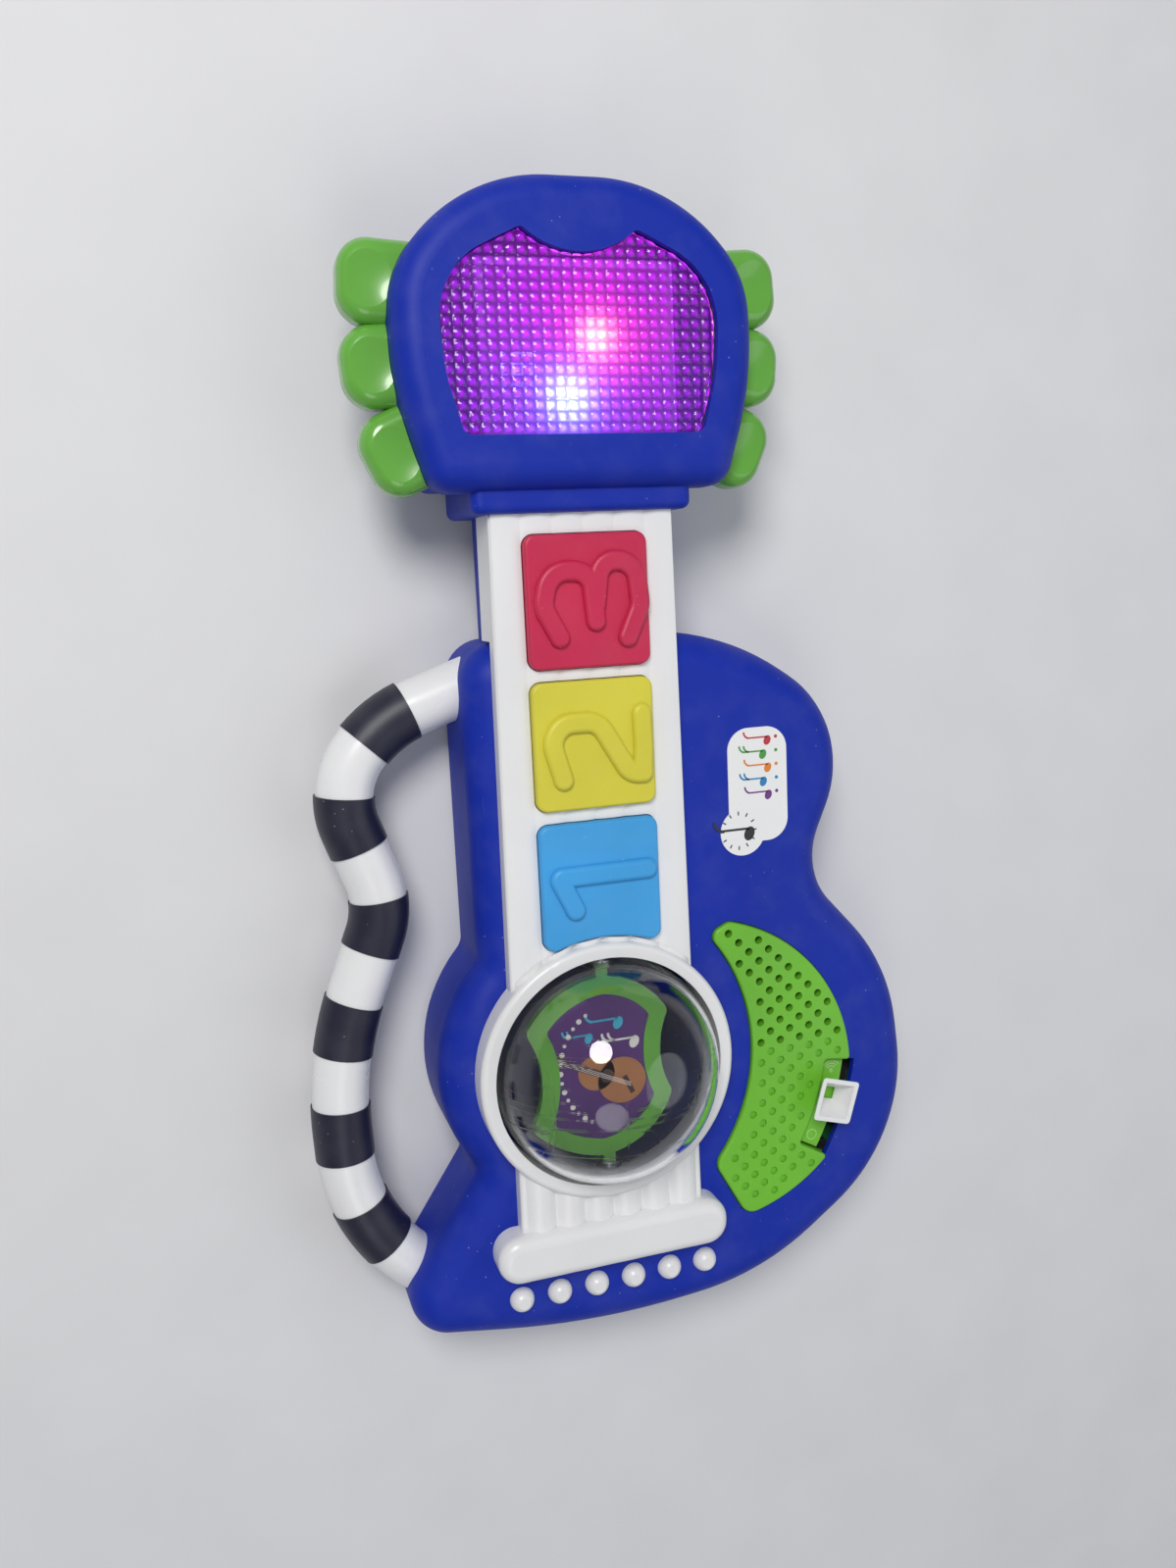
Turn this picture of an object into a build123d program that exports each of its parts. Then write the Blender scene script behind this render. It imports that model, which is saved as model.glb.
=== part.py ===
from build123d import *
import math
import os

# Toy guitar lying on its back. Millimetres; +Z out of the face, +Y up the neck, +X to the
# player's key side. The origin is on the resting plane under the centre of the roller ball.

# ------------------------------------------------------------------ overall sizes
BODY_THICK = 36.5          # resting plane to the blue front face
BODY_SPLIT_Z = 18.0        # seam between the rear and front shells
NECK_END_Y = 166.6         # where the white fascia meets the head collar
NECK_FACE_Z = BODY_THICK + 6.0     # white face of the neck
HEAD_FACE_Z = BODY_THICK + 14.5    # front face of the head bezel
HEAD_SPLIT_Z = BODY_THICK + 1.5    # seam between the head tray and the bezel
HEAD_BACK_Z = 8.0          # rear face of the head
WALL = 2.2                 # shell wall
FIT = 0.3                  # gap round pieces that drop into an opening

# ------------------------------------------------------------------ body
BODY_END_Y = 131.0
BODY_LEFT_X = -35.5
BULGE_R = 49.8             # rounded bulge of the left side round the ball
BULGE_BLEND_R = 6.0
BODY_FRONT_R = 10.0
BODY_BACK_R = 6.0
BODY_CORNERS = [           # x, y, corner radius, clockwise from the top left
    (BODY_LEFT_X, BODY_END_Y, 12.5),
    (46.6, BODY_END_Y, 81.0),
    (94.3, 98.5, 35.0),
    (73.6, 51.1, 23.0),
    (105.3, 15.2, 63.0),
    (111.8, -47.3, 59.0),
    (54.6, -86.8, 85.0),
    (-5.2, -91.2, 250.0),
    (-71.9, -79.6, 12.5),
    (BODY_LEFT_X, -26.4, 5.0),
]

# ------------------------------------------------------------------ ball
BALL_R = 35.2
BALL_WALL = 1.6
BALL_Z = BODY_THICK + 2.0
BALL_GAP = 0.7             # between the ball and the ring or the well
PIN_R = 2.5
PIN_PLAY = 0.05            # radial clearance of the ball on its pins
PIN_IN = 2.6               # how far a pin reaches inside the ball surface
PIN_OUT = 3.4              # how far it reaches into its block
WELL_WALL = 1.6
PADDLE_THICK = 3.0
PADDLE_BORDER = 5.5
PADDLE_TIP_R = 3.0
PANEL_SINK = 0.4           # how far each picture panel lies below the frame
PADDLE_CORNERS = [         # shield shape of the paddle in the ball
    (-24.6, 13.6),
    (0.0, 28.4),
    (21.0, 15.0),
    (18.0, 3.4),
    (21.6, -11.2),
    (-2.0, -29.0),
    (-24.4, -17.0),
    (-20.2, -1.4),
]

# ------------------------------------------------------------------ neck fascia
NECK_HALF_TOP = 27.5       # half width at the collar
NECK_HALF_LOW = 29.7       # half width at the bridge
FASCIA_WALL = 2.2
SKIRT_WALL = 2.0
SKIRT_FREE_Z = BODY_THICK - 9.5    # how far the skirt reaches behind the free part of the neck
RING_WIDTH = 4.4
RING_TOP_Z = NECK_FACE_Z + 2.9
RING_ROUND = 1.8
BRIDGE_LENGTH = 75.0
BRIDGE_WIDTH = 15.0
BRIDGE_Y = -55.6
BRIDGE_TOP_Z = NECK_FACE_Z + 4.0
BRIDGE_ROUND = 3.6
BRIDGE_X = -0.6
PLATE_LOW_Y = -50.0
FLUTE_COUNT = 6            # string-like ridges along the neck
FLUTE_PITCH = 9.3
FLUTE_RISE = 0.7
STRING_RISE = 2.2          # the ridges' rise beside the ring and above the bridge
STRING_LIFT = 1.3          # how far they stand above the neck's face there
STRING_PAST_RING = 1.4     # how far they run out past the ring towards the keys

# ------------------------------------------------------------------ neck spine
SPINE_HALF = 24.8
SPINE_BACK_Z = 10.0
COLLAR_HALF = 32.5
COLLAR_LENGTH = 6.0
COLLAR_TOP_Z = NECK_FACE_Z + 3.0
COLLAR_ROUND = 3.0

# ------------------------------------------------------------------ keys
KEY_WIDTH = 36.6
KEY_RADIUS = 3.2
KEY_TOP_Z = NECK_FACE_Z + 2.1
KEY_SPANS = [(41.8, 77.4), (81.4, 119.0), (122.6, 160.7)]   # low and high end of each key
KEY_TRAVEL = 2.0
KEY_FLANGE = 1.6
KEY_FLANGE_THICK = 1.5
KEY_FLANGE_PLAY = 0.3
KEY_WALL = 1.8
KEY_EDGE_ROUND = 0.9
RING_TO_KEY = 1.9          # white land between the ring and the lowest key
STROKE_WIDTH = 6.2
STROKE_RISE = 1.9
STROKE_ROUND = 1.6         # round along the numeral's upper edge
STROKE_SINK = 0.8
PLUNGER_R = 5.0
DOME_R = 6.5
DOME_TOP_R = 4.0
DOME_WALL = 1.0
DOME_HEIGHT = KEY_TRAVEL + 1.6
KEY_BOARD_Z = BODY_THICK - 8.1
BOARD_THICK = 1.6

# Centre lines of the raised numerals: strokes of (x, y, corner radius) about the key's centre.
# A numeral reads with its top towards -X, because the toy is played across the lap.
NUMERALS = [
    [[(-8.6, -8.0, 0), (-13.3, 2.2, 0.8), (14.4, 2.2, 0)]],
    [[(-10.3, -9.6, 0), (-14.8, 6.8, 6.2), (0.8, 6.8, 6.4), (10.2, -9.4, 5.0), (14.3, -9.4, 0)],
     [(14.2, -8.8, 0), (14.6, -2.0, 12.0), (14.4, 8.1, 0)]],
    [[(-9.3, -10.0, 0), (-13.9, -1.0, 6.0), (-11.6, 8.8, 6.5), (0.6, 8.4, 5.5), (1.7, -5.8, 0)],
     [(1.9, -1.0, 0), (3.6, 11.0, 5.0), (14.0, 11.0, 6.0), (15.3, -2.0, 8.0),
      (11.2, -10.9, 0)]],
]

# ------------------------------------------------------------------ pegs, badge
PEG_R = 3.9
PEG_PITCH = 12.3
PEG_COUNT = 6
PEG_Y = -72.6
PEG_X = 0.9
PEG_RISE = 3.4
PEG_STEM_R = 1.5
PEG_STEM_LENGTH = 5.0
BADGE_THICK = 0.3

# ------------------------------------------------------------------ handle
HANDLE_R = 8.6
HANDLE_WALL = 2.0
HANDLE_Z = 17.0
HANDLE_SOCKET = 6.0        # how deep each end sits in the body
HANDLE_POINTS = [(-34.0, 117.0), (-56.2, 109.5), (-73.6, 91.3), (-60.5, 53.2),
                 (-79.3, 7.0), (-77.3, -49.4), (-55.6, -66.1)]
HANDLE_BENDS = [40.0, 24.0, 25.0, 108.0, 57.0]
STRIPE_COUNT = 13
BAND_THICK = 0.5

# ------------------------------------------------------------------ head
HEAD_CORNERS = [           # right half, x and y above the bezel's lower edge, corner radius
    (29.5, 83.0, 49.0),
    (50.9, 57.9, 29.0),
    (52.6, 30.9, 91.0),
    (43.2, 0.0, 7.6),
]
HEAD_ROUND = 7.2
HEAD_TRAY_INSET = 2.0
HEAD_TRAY_ROUND = 5.0
WINDOW_CORNERS = [         # right half, x and y above the bezel's lower edge, corner radius
    (38.8, 30.3, 40.0),
    (40.6, 57.0, 22.0),
]
WINDOW_LOW_Y = 14.6
WINDOW_LOW_HALF = 34.6
WINDOW_PEAK = (16.4, 68.4)
WINDOW_DIP_Y = 62.2
LENS_TOP_Z = HEAD_FACE_Z - 2.4
LENS_THICK = 2.4
LENS_FLANGE = 2.0
BOX_HALF = 28.0            # light box, half width
BOX_LOW_Y = 12.0           # above the bezel's lower edge
BOX_HIGH_Y = 61.0
BOX_BACK_Z = 18.0
BOX_WALL = 1.6
LED_BOARD_Z = 20.0
LED_R = 2.5
LED_HEIGHT = 8.0
LED_FLANGE_R = 2.9
LED_SPOTS = [(9.8, 43.5), (2.1, 27.5), (-12.0, 36.0)]

# ------------------------------------------------------------------ tuners
TUNER_Z = HEAD_SPLIT_Z - 4.0
TUNER_THICK = 13.0
TUNER_ROUND = 4.6
TUNER_LOBES = [            # right side: centre x, y above the bezel's lower edge, sizes, tilt
    (50.4, 56.0, 27.0, 22.6, 4.0),
    (51.0, 34.6, 26.4, 22.2, -4.0),
    (46.4, 13.2, 27.0, 23.4, -24.0),
]
TUNER_CORNER = 8.6         # corner radius of each lobe, in plan
TUNER_DISH_R = 34.0        # hollow in the middle of each lobe
TUNER_DISH = 0.9
TONGUE_THICK = 4.0
TONGUE_REACH = 7.0

# ------------------------------------------------------------------ speaker and switch
GRILLE_TOP_Z = BODY_THICK + 1.4
GRILLE_TIP_R = 88.9        # radius of the lower tip beside the switch
GRILLE_FLANGE = 1.6
GRILLE_FLANGE_THICK = 1.4
HOLE_HALF_PITCH = 3.42
HOLE_R = 1.3
HOLE_EDGE = 2.4            # least distance from a hole's centre to the edge of the field
HOLE_START = (46.5, 32.3)
DIMPLE_DEPTH = 1.1
THROUGH_LIMIT_Y = -2.5     # holes above this line go right through
SPEAKER_X = 66.0
SPEAKER_Y = 13.0
SPEAKER_R = 18.0
SPEAKER_DEPTH = 13.0
SPEAKER_TOP_Z = BODY_THICK - 4.5
CONE_R = 15.0
MAGNET_R = 9.0
SWITCH_IN_R = 77.2         # radii about the ball centre
SWITCH_OUT_R = 85.0
SLOT_OUT_R = 88.6
SWITCH_STEP_Z = BODY_THICK - 1.3
SWITCH_SIDE_GAP = 0.5      # angle between the step and the ends of its notch
SWITCH_REST = -16.9        # angle of the knob in its middle position
SWITCH_DOWN = 9.5          # swing towards off
SWITCH_UP = 4.3            # swing towards loud
SWITCH_SPARE = 4.0         # angle left beyond the knob's centre at either end
SWITCH_FROM = SWITCH_REST - SWITCH_DOWN - SWITCH_SPARE
SWITCH_TO = SWITCH_REST + SWITCH_UP + SWITCH_SPARE
KNOB_BASE = 7.0
KNOB_FLARE_X = 13.4
KNOB_FLARE_Y = 14.2
KNOB_LEAN = 1.5            # how far the flare leans towards the ball
KNOB_WALL = 1.5
KNOB_BASE_Z = BODY_THICK - 0.5
KNOB_TOP_Z = BODY_THICK + 7.9
KNOB_R = 81.6              # radius of the knob's centre
KNOB_STEM_R = 86.8
KNOB_STEM = 2.4
KNOB_STEM_WIDE = 4.0

# ------------------------------------------------------------------ boards and batteries
MAIN_BOARD = (71.0, -33.0, 42.0, 36.0)        # centre x, y and size
MAIN_BOARD_Z = BODY_THICK - 12.5
CELL_R = 7.1
CELL_LENGTH = 50.5
CELL_GAP = 0.8
CELL_X = 8.0
CELL_Y = 84.0
BAY_WALL = 1.6
BAY_PLAY = 0.6
CELL_SETBACK = 0.7         # can end to the nominal cell end
NUB_PROUD = 0.5
NUB_R = 2.6
CONTACT_LENGTH = 3.0
CONTACT_PLATE = 0.5
DOOR_THICK = 2.0
DOOR_LIP = 3.0
DOOR_FIT = 0.35
DOOR_SCREW_LENGTH = 8.0
SCREW_R = 1.4
SCREW_HEAD_R = 2.8
SCREW_HEAD = 2.0
SCREW_LENGTH = 24.0
SCREW_SINK = 1.0           # how far the heads lie below the rear face
RECESS_DEPTH = 0.6
DOOR_HEAD_SINK = 1.1
HEAD_SCREW_BITE = 6.0
BOSS_R = 4.0
CASE_SCREWS = [(-28.6, 84.0), (72.0, 92.0), (92.0, -6.0), (38.0, -76.0), (-28.0, -78.0)]
HEAD_SCREWS = [(-36.0, 66.0), (36.0, 66.0)]   # y above the bezel's lower edge

# ------------------------------------------------------------------ worked-out values
HEAD_BASE_Y = NECK_END_Y + COLLAR_LENGTH
RING_IN_R = BALL_R + BALL_GAP
RING_OUT_R = RING_IN_R + RING_WIDTH
PLATE_UNDER_Z = NECK_FACE_Z - FASCIA_WALL
BODY_INNER_Z = BODY_THICK - WALL
KEY_BOARD_TOP = KEY_BOARD_Z + BOARD_THICK
PLUNGER_END_Z = KEY_BOARD_TOP + DOME_HEIGHT
FLANGE_TOP_Z = PLATE_UNDER_Z - KEY_FLANGE_PLAY
CELL_Z = DOOR_THICK + 0.6 + CELL_R
BAY_HALF_X = 2 * CELL_R + CELL_GAP / 2 + BAY_PLAY
BAY_HALF_Y = CELL_LENGTH / 2 + CONTACT_LENGTH
BAY_TOP_Z = CELL_Z + CELL_R + BAY_PLAY
DOOR_SCREW_Y = CELL_Y + BAY_HALF_Y + BAY_WALL + SCREW_HEAD_R


# ------------------------------------------------------------------ helpers
def rounded_face(corners):
    """Face inside a closed line of (x, y, radius) corners."""
    points = [(x, y) for x, y, radius in corners]
    radii = [radius for x, y, radius in corners]
    return make_face(FilletPolyline(*points, radius=radii, close=True))


def slab(face, low, high):
    """Upright solid over a face, from one height to another."""
    return extrude(Pos(0, 0, low) * face, amount=high - low)


def rounded_slab(face, low, high, top_round, low_round):
    """Slab whose top and bottom edges are rounded."""
    solid = slab(face, low, high)
    if top_round:
        solid = fillet(solid.edges().group_by(Axis.Z)[-1], top_round)
    if low_round:
        solid = fillet(solid.edges().group_by(Axis.Z)[0], low_round)
    return solid


def block(x0, x1, y0, y1, z0, z1):
    """Box between two corners."""
    size = (x1 - x0, y1 - y0, z1 - z0)
    return Pos((x0 + x1) / 2, (y0 + y1) / 2, (z0 + z1) / 2) * Box(*size)


def post(x, y, z0, z1, radius):
    """Upright cylinder."""
    return Pos(x, y, (z0 + z1) / 2) * Cylinder(radius, z1 - z0)


def grow(face, amount):
    """Face offset outwards, or inwards with a negative amount."""
    return offset(face, amount=amount, kind=Kind.ARC if amount > 0 else Kind.INTERSECTION)


def mirrored(corners):
    """Corners of the right half, then those of the left half in the other order."""
    left = [(-x, y, radius) for x, y, radius in reversed(corners)]
    return corners + left


def polar(radius, degrees):
    """Point at an angle on a circle about the ball's axis."""
    angle = math.radians(degrees)
    return radius * math.cos(angle), radius * math.sin(angle)


# ------------------------------------------------------------------ outlines
def body_face():
    """Guitar body outline with the rounded bulge beside the ball."""
    face = rounded_face(BODY_CORNERS) + Circle(BULGE_R)
    notches = [v for v in face.vertices()
               if v.X < BODY_LEFT_X / 2 and abs(math.hypot(v.X, v.Y) - BULGE_R) < 0.01]
    return fillet(notches, BULGE_BLEND_R)


def head_face():
    """Bezel outline."""
    corners = [(x, y + HEAD_BASE_Y, radius) for x, y, radius in mirrored(HEAD_CORNERS)]
    return rounded_face(corners)


def window_face():
    """Window in the bezel: wide at the top, with a smile-shaped dip."""
    low = HEAD_BASE_Y + WINDOW_LOW_Y
    peak_x, peak_y = WINDOW_PEAK
    peak_y += HEAD_BASE_Y
    side = [(x, y + HEAD_BASE_Y) for x, y, radius in WINDOW_CORNERS]
    radii = [radius for x, y, radius in WINDOW_CORNERS]
    right = FilletPolyline((WINDOW_LOW_HALF, low), *side, (peak_x, peak_y), radius=radii)
    left = mirror(right, about=Plane.YZ)
    dip = ThreePointArc((peak_x, peak_y), (0, HEAD_BASE_Y + WINDOW_DIP_Y), (-peak_x, peak_y))
    foot = Line((-WINDOW_LOW_HALF, low), (WINDOW_LOW_HALF, low))
    face = make_face([*right.edges(), *left.edges(), dip.edge(), foot.edge()])
    tips = [v for v in face.vertices() if abs(abs(v.X) - peak_x) < 0.01 and v.Y > low + 5]
    face = fillet(tips, 1.6)
    feet = [v for v in face.vertices() if abs(v.Y - low) < 0.01]
    return fillet(feet, 3.0)


def neck_half(y):
    """Half width of the fascia at a height along the neck."""
    share = (y - PLATE_LOW_Y) / (NECK_END_Y - PLATE_LOW_Y)
    return NECK_HALF_LOW + (NECK_HALF_TOP - NECK_HALF_LOW) * share


def neck_face(inset, low=PLATE_LOW_Y, high=NECK_END_Y):
    """Tapered outline of the neck, drawn in by an inset on its long sides."""
    half_low = neck_half(low) - inset
    half_high = neck_half(high) - inset
    return make_face(Polyline((-half_low, low), (half_low, low), (half_high, high),
                              (-half_high, high), close=True))


def key_face(index, growth=0.0):
    """Outline of one key; the lowest one follows the ring."""
    low, high = KEY_SPANS[index]
    half = KEY_WIDTH / 2
    if index == 0:
        low -= 4.0
    face = Pos(0, (low + high) / 2) * Rectangle(2 * half, high - low)
    if index == 0:
        face -= Circle(RING_OUT_R + RING_TO_KEY)
    face = fillet(face.vertices(), KEY_RADIUS)
    return grow(face, growth) if growth else face


def grille_face():
    """Crescent of the speaker grille with the notch for the switch."""
    notch_low = polar(SWITCH_IN_R, SWITCH_FROM)
    notch_high = polar(SWITCH_IN_R, SWITCH_TO)
    notch_mid = polar(SWITCH_IN_R, (SWITCH_FROM + SWITCH_TO) / 2)
    low_tip = polar(GRILLE_TIP_R, SWITCH_FROM)
    high_tip = polar(GRILLE_TIP_R - 2.4, SWITCH_TO)
    edges = [
        ThreePointArc((36.4, 36.0), (50.4, -5.0), (36.4, -40.5)).edge(),
        Line((36.4, -40.5), (47.0, -60.2)).edge(),
        ThreePointArc((47.0, -60.2), (66.0, -53.2), low_tip).edge(),
        Line(low_tip, notch_low).edge(),
        ThreePointArc(notch_low, notch_mid, notch_high).edge(),
        Line(notch_high, high_tip).edge(),
        ThreePointArc(high_tip, (73.4, 20.2), (43.6, 39.4)).edge(),
        Line((43.6, 39.4), (36.4, 36.0)).edge(),
    ]
    face = make_face(edges)
    face = fillet([v for v in face.vertices() if v.X < 44 and v.Y > 30], 3.2)
    face = fillet([v for v in face.vertices() if v.X < 50 and v.Y < -35], 5.0)
    return fillet([v for v in face.vertices() if v.X > 66], 1.2)


def sector_face(r0, r1, a0, a1):
    """Face between two radii and two angles about the ball's centre."""
    middle = (a0 + a1) / 2
    edges = [
        ThreePointArc(polar(r0, a0), polar(r0, middle), polar(r0, a1)).edge(),
        Line(polar(r0, a1), polar(r1, a1)).edge(),
        ThreePointArc(polar(r1, a1), polar(r1, middle), polar(r1, a0)).edge(),
        Line(polar(r1, a0), polar(r0, a0)).edge(),
    ]
    return make_face(edges)


def bay_face(growth=0.0):
    """Plan of the battery bay."""
    return Pos(CELL_X, CELL_Y) * Rectangle(2 * (BAY_HALF_X + growth), 2 * (BAY_HALF_Y + growth))


def door_face(growth=0.0):
    """Outline of the battery door."""
    width = 2 * (BAY_HALF_X + DOOR_LIP + growth)
    length = 2 * (BAY_HALF_Y + DOOR_LIP + growth)
    return Pos(CELL_X, CELL_Y) * RectangleRounded(width, length, 2.5)


def tab_face(growth=0.0):
    """Screw tab at the upper end of the battery door."""
    width = 12.0 + 2 * growth
    length = 2 * (SCREW_HEAD_R + 2.0 + growth)
    return Pos(CELL_X, DOOR_SCREW_Y) * RectangleRounded(width, length, 2.5)


# ------------------------------------------------------------------ shells
def handle_path():
    """Centre line of the handle, run on into its two sockets."""
    first = Vector(*HANDLE_POINTS[0])
    second = Vector(*HANDLE_POINTS[1])
    last = Vector(*HANDLE_POINTS[-1])
    before = Vector(*HANDLE_POINTS[-2])
    start = first + (first - second).normalized() * HANDLE_SOCKET
    end = last + (last - before).normalized() * HANDLE_SOCKET
    points = [start, *[Vector(*p) for p in HANDLE_POINTS[1:-1]], end]
    return Pos(0, 0, HANDLE_Z) * Wire(FilletPolyline(*points, radius=HANDLE_BENDS).edges())


def tube_along(path, radius):
    """Round bar along a path."""
    plane = Plane(origin=path @ 0, z_dir=path % 0)
    return sweep(plane * Circle(radius), path=path)


def body_solid(inset):
    """Body without its hollow, drawn in by an inset on every side."""
    face = grow(body_face(), -inset) if inset else body_face()
    front = BODY_FRONT_R - inset
    back = BODY_BACK_R - inset
    return rounded_slab(face, inset, BODY_THICK - inset, front, back)


def case_bosses(low, high):
    """Screw posts of the body."""
    return [post(x, y, low, high, BOSS_R) for x, y in CASE_SCREWS]


def head_points(spots):
    """Places on the head, with y counted from the bezel's lower edge."""
    return [(x, y + HEAD_BASE_Y) for x, y in spots]


def collar_solid():
    """Stepped collar between the neck and the head."""
    width = 2 * COLLAR_HALF
    height = COLLAR_TOP_Z - HEAD_BACK_Z
    ring = Rectangle(width, height)
    ring = fillet(ring.vertices(), COLLAR_ROUND)
    middle = (COLLAR_TOP_Z + HEAD_BACK_Z) / 2
    plane = Plane(origin=(0, NECK_END_Y, middle), x_dir=(1, 0, 0), z_dir=(0, -1, 0))
    solid = extrude(plane * ring, amount=-(COLLAR_LENGTH + WALL))
    return fillet(solid.edges().group_by(Axis.Y)[0], COLLAR_ROUND * 0.8)


def neck_passage():
    """Inside of the spine, open from the body into the head."""
    inner = SPINE_HALF - WALL
    return block(-inner, inner, BODY_END_Y - 3 * WALL, HEAD_BASE_Y + 3 * WALL,
                 SPINE_BACK_Z + WALL, PLATE_UNDER_Z)


def spine_solid():
    """Outside of the spine that joins the body to the head."""
    return block(-SPINE_HALF, SPINE_HALF, BODY_END_Y - 2 * WALL, NECK_END_Y,
                 SPINE_BACK_Z, PLATE_UNDER_Z)


def rear_shell():
    """Rear half of the case: body tray, neck spine, head tray and battery bay walls."""
    body = body_solid(0) - body_solid(WALL)
    body &= block(-150, 150, -150, 150, 0, BODY_SPLIT_Z)
    tray_face = grow(head_face(), -HEAD_TRAY_INSET)
    head = rounded_slab(tray_face, HEAD_BACK_Z, HEAD_SPLIT_Z, 0, HEAD_TRAY_ROUND)
    hollow = rounded_slab(grow(tray_face, -WALL), HEAD_BACK_Z + WALL, HEAD_SPLIT_Z + 1, 0,
                          HEAD_TRAY_ROUND - WALL)
    collar = collar_solid() & block(-60, 60, 0, 400, 0, HEAD_SPLIT_Z)
    shell = body + spine_solid() + head + collar
    shell -= hollow
    shell -= neck_passage()
    bay = slab(bay_face(BAY_WALL), WALL, BAY_TOP_Z + BAY_WALL) - slab(bay_face(), 0, BAY_TOP_Z)
    shell += bay
    door_seat = slab(door_face(DOOR_FIT + BAY_WALL) + tab_face(DOOR_FIT + BAY_WALL), 0,
                     DOOR_THICK + BAY_WALL)
    shell += door_seat
    shell += slab(Circle(RING_IN_R + WELL_WALL) - Circle(RING_IN_R), WALL, BODY_SPLIT_Z)
    for boss in case_bosses(WALL, BODY_SPLIT_Z):
        shell += boss
    for x, y in head_points(HEAD_SCREWS):
        shell += post(x, y, HEAD_BACK_Z + WALL, HEAD_SPLIT_Z, BOSS_R)
    shell -= slab(bay_face(), -1, BAY_TOP_Z)
    shell -= slab(door_face(DOOR_FIT) + tab_face(DOOR_FIT), -1, DOOR_THICK)
    shell -= tube_along(handle_path(), HANDLE_R)
    for x, y in CASE_SCREWS:
        shell -= post(x, y, -1, BODY_SPLIT_Z + 1, SCREW_R)
        shell -= post(x, y, -1, SCREW_SINK + SCREW_HEAD, SCREW_HEAD_R)
    for x, y in head_points(HEAD_SCREWS):
        shell -= post(x, y, HEAD_BACK_Z - 1, HEAD_SPLIT_Z + 1, SCREW_R)
        shell -= post(x, y, HEAD_BACK_Z - 1, HEAD_BACK_Z + SCREW_SINK + SCREW_HEAD,
                      SCREW_HEAD_R)
    shell += post(CELL_X, DOOR_SCREW_Y, DOOR_THICK, DOOR_THICK + DOOR_SCREW_LENGTH + 1.6,
                  SCREW_HEAD_R)
    shell -= post(CELL_X, DOOR_SCREW_Y, 0, DOOR_THICK + DOOR_SCREW_LENGTH, SCREW_R)
    for tuner in tuner_tongues(FIT / 2):
        shell -= tuner
    return shell


def front_shell():
    """Front half of the body, open under the fascia, the grille and the switch."""
    shell = body_solid(0) - body_solid(WALL)
    shell &= block(-150, 150, -150, 150, BODY_SPLIT_Z, BODY_THICK + 1)
    shell += slab(Circle(RING_IN_R + WELL_WALL), BODY_SPLIT_Z, BODY_INNER_Z)
    for boss in case_bosses(BODY_SPLIT_Z, BODY_INNER_Z):
        shell += boss
    shell -= slab(Circle(RING_IN_R), 0, BODY_THICK + 1)
    low = KEY_SPANS[0][0] - 4.0
    half = KEY_WIDTH / 2 + KEY_FLANGE + 1.0
    keys = block(-half, half, low, BODY_END_Y - 2 * WALL, BODY_INNER_Z - 1, BODY_THICK + 1)
    keys -= slab(Circle(RING_OUT_R), 0, BODY_THICK + 2)
    shell -= keys
    shell -= block(-SPINE_HALF - FIT, SPINE_HALF + FIT, BODY_END_Y - 2 * WALL,
                   BODY_END_Y + 5, 0, BODY_THICK + 1)
    shell -= slab(grow(grille_face(), FIT), BODY_INNER_Z - 1, BODY_THICK + 1)
    shell -= slab(sector_face(SWITCH_IN_R - 3, SLOT_OUT_R, SWITCH_FROM, SWITCH_TO),
                  BODY_INNER_Z - 1, BODY_THICK + 1)
    for x in peg_places():
        shell -= post(x, PEG_Y, BODY_INNER_Z - 1, BODY_THICK + 1, PEG_STEM_R)
    for y in (-1, 1):
        shell -= pin_block(y)
    for x, y in CASE_SCREWS:
        shell -= post(x, y, BODY_SPLIT_Z - 1, SCREW_SINK + SCREW_LENGTH, SCREW_R)
    shell -= tube_along(handle_path(), HANDLE_R)
    return shell


def head_bezel():
    """Front half of the head with the window, and the front of the collar."""
    face = head_face()
    shell = rounded_slab(face, HEAD_SPLIT_Z, HEAD_FACE_Z, HEAD_ROUND, 0)
    inner = rounded_slab(grow(face, -WALL), HEAD_SPLIT_Z - 1, HEAD_FACE_Z - WALL,
                         HEAD_ROUND - WALL, 0)
    collar = collar_solid() & block(-60, 60, 0, 400, HEAD_SPLIT_Z, 60)
    shell = shell - inner + collar
    shell -= block(-SPINE_HALF + WALL, SPINE_HALF - WALL, NECK_END_Y - 1,
                   HEAD_BASE_Y + 2 * WALL, HEAD_SPLIT_Z - 1, PLATE_UNDER_Z)
    shell -= slab(window_face(), HEAD_SPLIT_Z, HEAD_FACE_Z + 1)
    for x, y in head_points(HEAD_SCREWS):
        boss = post(x, y, HEAD_SPLIT_Z, HEAD_FACE_Z - WALL - 0.5, BOSS_R)
        boss -= post(x, y, HEAD_SPLIT_Z - 1, HEAD_SPLIT_Z + HEAD_SCREW_BITE, SCREW_R)
        boss -= slab(grow(window_face(), LENS_FLANGE + FIT), 0, HEAD_FACE_Z)
        shell += boss
    return shell


# ------------------------------------------------------------------ neck fascia and pegs
def pin_block(side):
    """Block under the ring that holds one ball pin."""
    y0 = side * (RING_IN_R - 1.0)
    y1 = side * RING_OUT_R
    return block(-4.5, 4.5, min(y0, y1), max(y0, y1), BALL_Z - 5.0, BALL_Z + 4.5)


def bridge_solid():
    """Bridge bar across the lower end of the neck."""
    face = Pos(BRIDGE_X, BRIDGE_Y) * RectangleRounded(BRIDGE_LENGTH, BRIDGE_WIDTH,
                                                    BRIDGE_WIDTH / 2 - 0.5)
    return rounded_slab(face, BODY_THICK, BRIDGE_TOP_Z, BRIDGE_ROUND, 0)


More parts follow.
